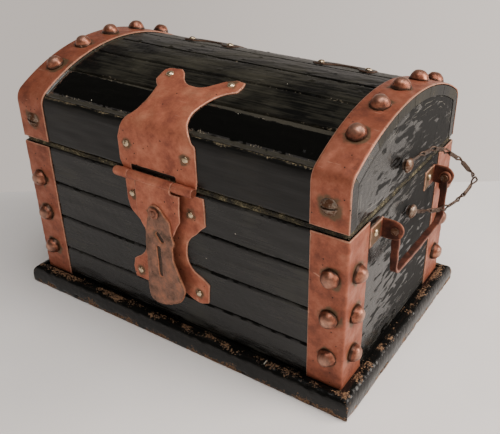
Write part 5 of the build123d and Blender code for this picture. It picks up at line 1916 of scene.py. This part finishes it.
# ---- small pins
def make_pins() -> None:
    """The bright domed pins of the plates, leaves and brackets."""
    front, back = -HALF_D, HALF_D
    chest = [((x, front, z), (0, -1, 0)) for x, z in (
        (-24.1, 90.3), (16.8, 88.8), (-24.2, 38.3), (19.0, 38.0)
    )]
    chest += [
        ((x + s * 11.0, back, z), (0, 1, 0)) for x in Hinges.centres for s in SIDES for z in (94.0, 69.0)
    ]
    chest += [((s * HALF_W, y, 93.0), (s, 0, 0)) for s in SIDES for y in (-38.0, 31.5)]
    lid = [((x, front, 120.5), (0, -1, 0)) for x in (-24.4, 15.9)]
    lid += [((x + s * 11.0, back, 118.0), (0, 1, 0)) for x in Hinges.centres for s in SIDES]
    over = [(-21.5, -30.0), (19.0, -29.0)] + [(x + s * 14.6, 30.0) for x in Hinges.centres for s in SIDES]
    for x, y in over:
        turn = math.asin(y / DOME)
        lid.append(((x, y, DOME_Z + DOME * math.cos(turn)), (0, math.sin(turn), math.cos(turn))))
    for body, rows in (("chest", chest), ("lid", lid)):
        places, normals = (np.array([row[i] for row in rows], float) for i in (0, 1))
        made = turned(PIN_PROFILE, places, normals, 0.09, 900, 16)
        show(
            made, f"{body}_domed_pins", Finish.PIN, body, "escutcheon_pins", f"{body}_escutcheon_pins",
            crease=60.0
        )


# ---- chain stay
@dataclass
class ChainStay:
    """Two screws on the right end and the chain of strip links and twisted wire between them."""

    lid_screw: tuple[float, float, float] = (HALF_W, -10.0, 118.5)
    chest_screw: tuple[float, float, float] = (HALF_W, 2.5, 86.0)
    apex: tuple[float, float, float] = (128.5, 60.0, 85.0)
    link: float = 8.6
    ring: float = 2.55
    strip: float = 3.0
    thick: float = 1.0
    wire: float = 0.52
    first: float = 4.75

    def line(self, points: Sequence[tuple[float, float, float]], spacing: float = 0.1) -> Array:
        """Evenly spaced stations on a smooth line through points in space."""
        p = np.array(points)
        xy, z = curve(*p[:, :2], count=60), curve(*[(q, 0.0) for q in p[:, 2]], count=60)[:, 0]
        dense = np.concatenate([np.column_stack([xy, z]), p[-1:]])
        run = np.concatenate([[0], np.cumsum(np.linalg.norm(np.diff(dense, axis=0), axis=1))])
        at = np.arange(0, run[-1], spacing)
        return np.stack([np.interp(at, run, dense[:, i]) for i in range(3)], -1)

    def chain(self, points: Sequence[tuple[float, float, float]], seed: int) -> Surface:
        """Half of the chain: an eye round its screw, then strips joined by twisted wire loops.

        Formula of a wire loop: a long ring about the line, whose two sides cross twice because
        the ring's plane turns half round from end to end.
        """
        line = self.line(points)
        total = len(line) * 0.1
        pitch = self.link + 2 * self.ring
        count = int((total - self.first) / pitch)
        pitch = (total - self.first) / count
        scale = pitch / (self.link + 2 * self.ring)
        made = self.end_eye(points[0])
        for k in range(count):
            start = self.first + k * pitch
            made = made + self.strip_link(line, start, start + self.link * scale, k % 2 * 0.5)
            made = made + self.wire_loop(line, start + self.link * scale - 1.2, start + pitch + 1.2, k)
        return made + self.wire_loop(line, 1.2, self.first + 1.2, seed)

    def end_eye(self, at: tuple[float, float, float]) -> Surface:
        """The flat eye that turns on the screw."""
        stand = upright((at[0] + self.thick / 2, *at[1:]), (0, 1, 0), (1, 0, 0))
        loops = [circle(0, 0, 3.0, 24), circle(0, 0, 1.4, 14)]
        return Sheet(
            loops, stand, self.thick, cell=0.4, wobble=0.08, wave=4.0, rim=0.25, hammer=0.03, dent=4.0,
            seed=3
        ).make()

    def part_of(self, line: Array, start: float, stop: float, count: int) -> Array:
        """Stations between two runs along the line."""
        at = np.clip(np.linspace(start, stop, count) / 0.1, 0, len(line) - 1)
        low = at.astype(int)
        high = np.minimum(low + 1, len(line) - 1)
        return line[low] + (line[high] - line[low]) * (at - low)[:, None]

    def strip_link(self, line: Array, start: float, stop: float, twist: float) -> Surface:
        """A strip with rounded, thinned ends."""
        at = self.part_of(line, start, stop, 14)
        t = np.linspace(-1, 1, 14)
        wide = self.strip / 2 * np.sqrt(np.clip(1.02 - t**6, 0.02, 1)) * (0.86 + 0.14 * t**2)
        turn = np.arange(10) / 10 * 2 * math.pi
        flat = [np.sign(way) * np.abs(way) ** 0.6 for way in (np.cos(turn), np.sin(turn))]
        section = columns(wide[:, None] * flat[0][None], self.thick / 2 * flat[1])
        return swept(at, section, np.array((0.3 - twist, 0.1, 1.0)))

    def wire_loop(self, line: Array, start: float, stop: float, seed: int) -> Surface:
        """One twisted wire loop between two runs along the line."""
        middle = self.part_of(line, start, stop, 24)
        ahead = middle[-1] - middle[0]
        ahead /= np.linalg.norm(ahead)
        up = np.cross(ahead, (1.0, 0.2 * (seed % 3), 0.3))
        up /= np.linalg.norm(up)
        side = np.cross(ahead, up)
        turn = np.arange(28) / 28 * 2 * math.pi
        t = (1 - np.cos(turn)) / 2
        station = t * (len(middle) - 1)
        low = np.minimum(station.astype(int), len(middle) - 2)
        along = middle[low] + (middle[low + 1] - middle[low]) * (station - low)[:, None]
        roll = 0.5 + math.pi * 0.9 * t + seed
        reach = 1.25 * np.sin(turn)
        loop = along + reach[:, None] * (np.cos(roll)[:, None] * up + np.sin(roll)[:, None] * side)
        return swept(loop, circle(0, 0, self.wire, 7), ahead + 0.3 * up, True)

    def screw(self, at: tuple[float, float, float], seed: int) -> Surface:
        """A round-head screw, its head standing off the board for the chain's eye."""
        profile = [
            (0, -0.2), (1.3, -0.2), (1.3, 2.2), (3.8, 2.2), (4.0, 2.6), (3.7, 3.4), (2.9, 4.15),
            (1.7, 4.65), (0, 4.8)
        ]
        return turned(np.array(profile), np.array([at]), np.array([(1.0, 0, 0)]), 0.15, seed)

    def make(self) -> None:
        """Makes both halves of the chain and both screws."""
        eye = HALF_W + 1.1
        upper = (
            (eye, *self.lid_screw[1:]), (113.0, 8.0, 117.5), (114.5, 28.0, 113.0), (121.0, 46.0, 101.0),
            (127.5, 57.0, 87.5)
        )
        lower = (
            (eye, *self.chest_screw[1:]), (115.0, 13.0, 81.5), (121.0, 30.0, 77.0), (126.0, 46.0, 79.0),
            self.apex
        )
        for name, points, seed in (("chain_upper", upper, 4), ("chain_lower", lower, 6)):
            show(self.chain(points, seed), f"{name}_links", Finish.WIRE, name, "chain", name, crease=60.0)
        for body, at, seed in (("lid", self.lid_screw, 41), ("chest", self.chest_screw, 42)):
            show(
                self.screw(at, seed), f"chain_screw_head_{body}", Finish.SCREW, body, "slotted_screws",
                f"chain_screw_{body}", crease=50.0
            )


# ---- carried-over CAD pieces
def dress_frame() -> None:
    """Gives each CAD node that stays its finish."""
    kept = {
        "base_board": Finish.WALL,
        "staple": Finish.WIRE,
        "hasp_pin": Finish.WIRE,
        "hinge_pins": Finish.WIRE,
        "handle_pivot_pins": Finish.SCREW,
    }
    for name, finish in kept.items():
        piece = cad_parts[name]
        for spot in piece.material_slots:
            spot.material = finish.material
        if not piece.material_slots:
            piece.data.materials.append(finish.material)
        LOG.info("%s keeps its CAD shape", name)


# ---- stage
@dataclass
class Stage:
    """Pale table in a pale room with a darker ceiling, soft light from the right, and the camera."""

    table_turn: float = 34.3  # the table's far edge is nearly square to the view
    table_back: float = 0.1325  # from the middle of the trunk
    table_right: float = 0.30
    lens: float = 50.47
    place: tuple[float, float, float] = (0.2250, -0.3136, 0.2754)
    azimuth: float = 34.5625
    elevation: float = 30.4564
    roll: float = -1.3905

    def flat_panel(self, name: str, corners: Sequence[tuple[float, float, float]], shade: str) -> None:
        """A flat, matt stage panel."""
        mesh = bpy.data.meshes.new(name)
        mesh.from_pydata(corners, [], [(0, 1, 2, 3)])
        material, add = new_material(f"matt pale {name}")
        place = add("TexCoord").outputs["Object"]
        cloud = add("TexNoise", Vector=place, Scale=7.0, Detail=3.0)
        grey = add("MapRange", PLAIN, cloud, 0.3, 0.7, 0.94, 1.04)
        colour = add("Mix", {"data_type": "RGBA", "blend_type": "MULTIPLY"}, 1.0, shade, grey)
        mesh.materials.append(finished(material, {"Roughness": 0.7}, colour))
        panel = bpy.data.objects.new(name, mesh)
        bpy.context.scene.collection.objects.link(panel)

    def area_light(self, name: str, place: Vector, size: float, power: float, shade: str) -> None:
        """A soft square light that faces the trunk."""
        light = bpy.data.lights.new(name, "AREA")
        light.size, light.energy, light.color = size, power, linear(shade)[:3]
        lamp = bpy.data.objects.new(name, light)
        lamp.location = place
        lamp.rotation_euler = (Vector((0, 0, 0.07)) - place).to_track_quat("-Z", "Y").to_euler()
        bpy.context.scene.collection.objects.link(lamp)

    def room(self) -> None:
        """The room's walls, pale to a little over the level, and its darker ceiling."""
        world = bpy.data.worlds.new("room")
        bpy.context.scene.world = world
        world.use_nodes = True
        tree = world.node_tree
        add = partial(add_node, tree)
        way = add("SeparateXYZ", PLAIN, add("TexCoord").outputs["Generated"])
        level = add("MapRange", PLAIN, way.outputs["Z"], -1.0, 1.0, 0.0, 1.0)
        colour = add("ValToRGB", {"ramp": [(0.585, "#dbd1c9"), (0.7, "#3f3d3a")]}, level)
        strength = add("MapRange", PLAIN, way.outputs["X"], -0.65, -0.15, 0.98, 1.55)
        for name, source in (("Color", colour), ("Strength", strength)):
            tree.links.new(main_output(source), tree.nodes["Background"].inputs[name])

    def camera(self) -> None:
        """The camera, from its azimuth, elevation and roll."""
        a, e, r = (math.radians(v) for v in (self.azimuth, self.elevation, self.roll))
        back = Vector((math.sin(a) * math.cos(e), -math.cos(a) * math.cos(e), math.sin(e)))
        right = (-back).cross(Vector((0, 0, 1))).normalized()
        up = right.cross(-back)
        across = math.cos(r) * right + math.sin(r) * up
        over = -math.sin(r) * right + math.cos(r) * up
        turn = Matrix((across, over, back)).transposed().to_4x4()
        data = bpy.data.cameras.new("camera")
        data.lens, data.sensor_width, data.sensor_fit = self.lens, 36.0, "HORIZONTAL"
        data.clip_start, data.clip_end = 0.01, 20.0
        camera = bpy.data.objects.new("camera", data)
        camera.matrix_world = Matrix.Translation(self.place) @ turn
        bpy.context.scene.collection.objects.link(camera)
        bpy.context.scene.camera = camera

    def make(self) -> None:
        """Sets the stage, the lights and the camera."""
        turn = math.radians(self.table_turn)
        along = Vector((math.cos(turn), math.sin(turn), 0))
        toward = Vector((math.sin(turn), -math.cos(turn), 0))
        low, high = -3.0 * along, self.table_right * along
        near, far = 3.0 * toward, -self.table_back * toward
        self.flat_panel(
            "table", [tuple(p) for p in (low + near, high + near, high + far, low + far)], "#f1edea"
        )
        self.area_light(
            "window", along * 1.25 + toward * 0.3 + Vector((0, 0, 0.75)), 0.9, 26.0, "#fff5ec"
        )
        self.area_light("ceiling", along * 0.3 + toward * 0.4 + Vector((0, 0, 1.6)), 1.3, 25.0, "#f8f6f4")
        self.room()
        self.camera()


def main() -> None:
    """Makes the trunk's pieces in order, then the stage."""
    logging.basicConfig(level=logging.INFO, format="%(name)s: %(message)s")
    straps = CornerStraps()
    Base().make()
    Walls().make()
    straps.make()
    RimBraid().make()
    LidWood().make()
    LidStraps().make(np.array(straps.stud_profile))
    Hasp().make()
    Hinges().make()
    Handles().make()
    make_pins()
    ChainStay().make()
    dress_frame()
    Stage().make()


if __name__ == "__main__":
    main()
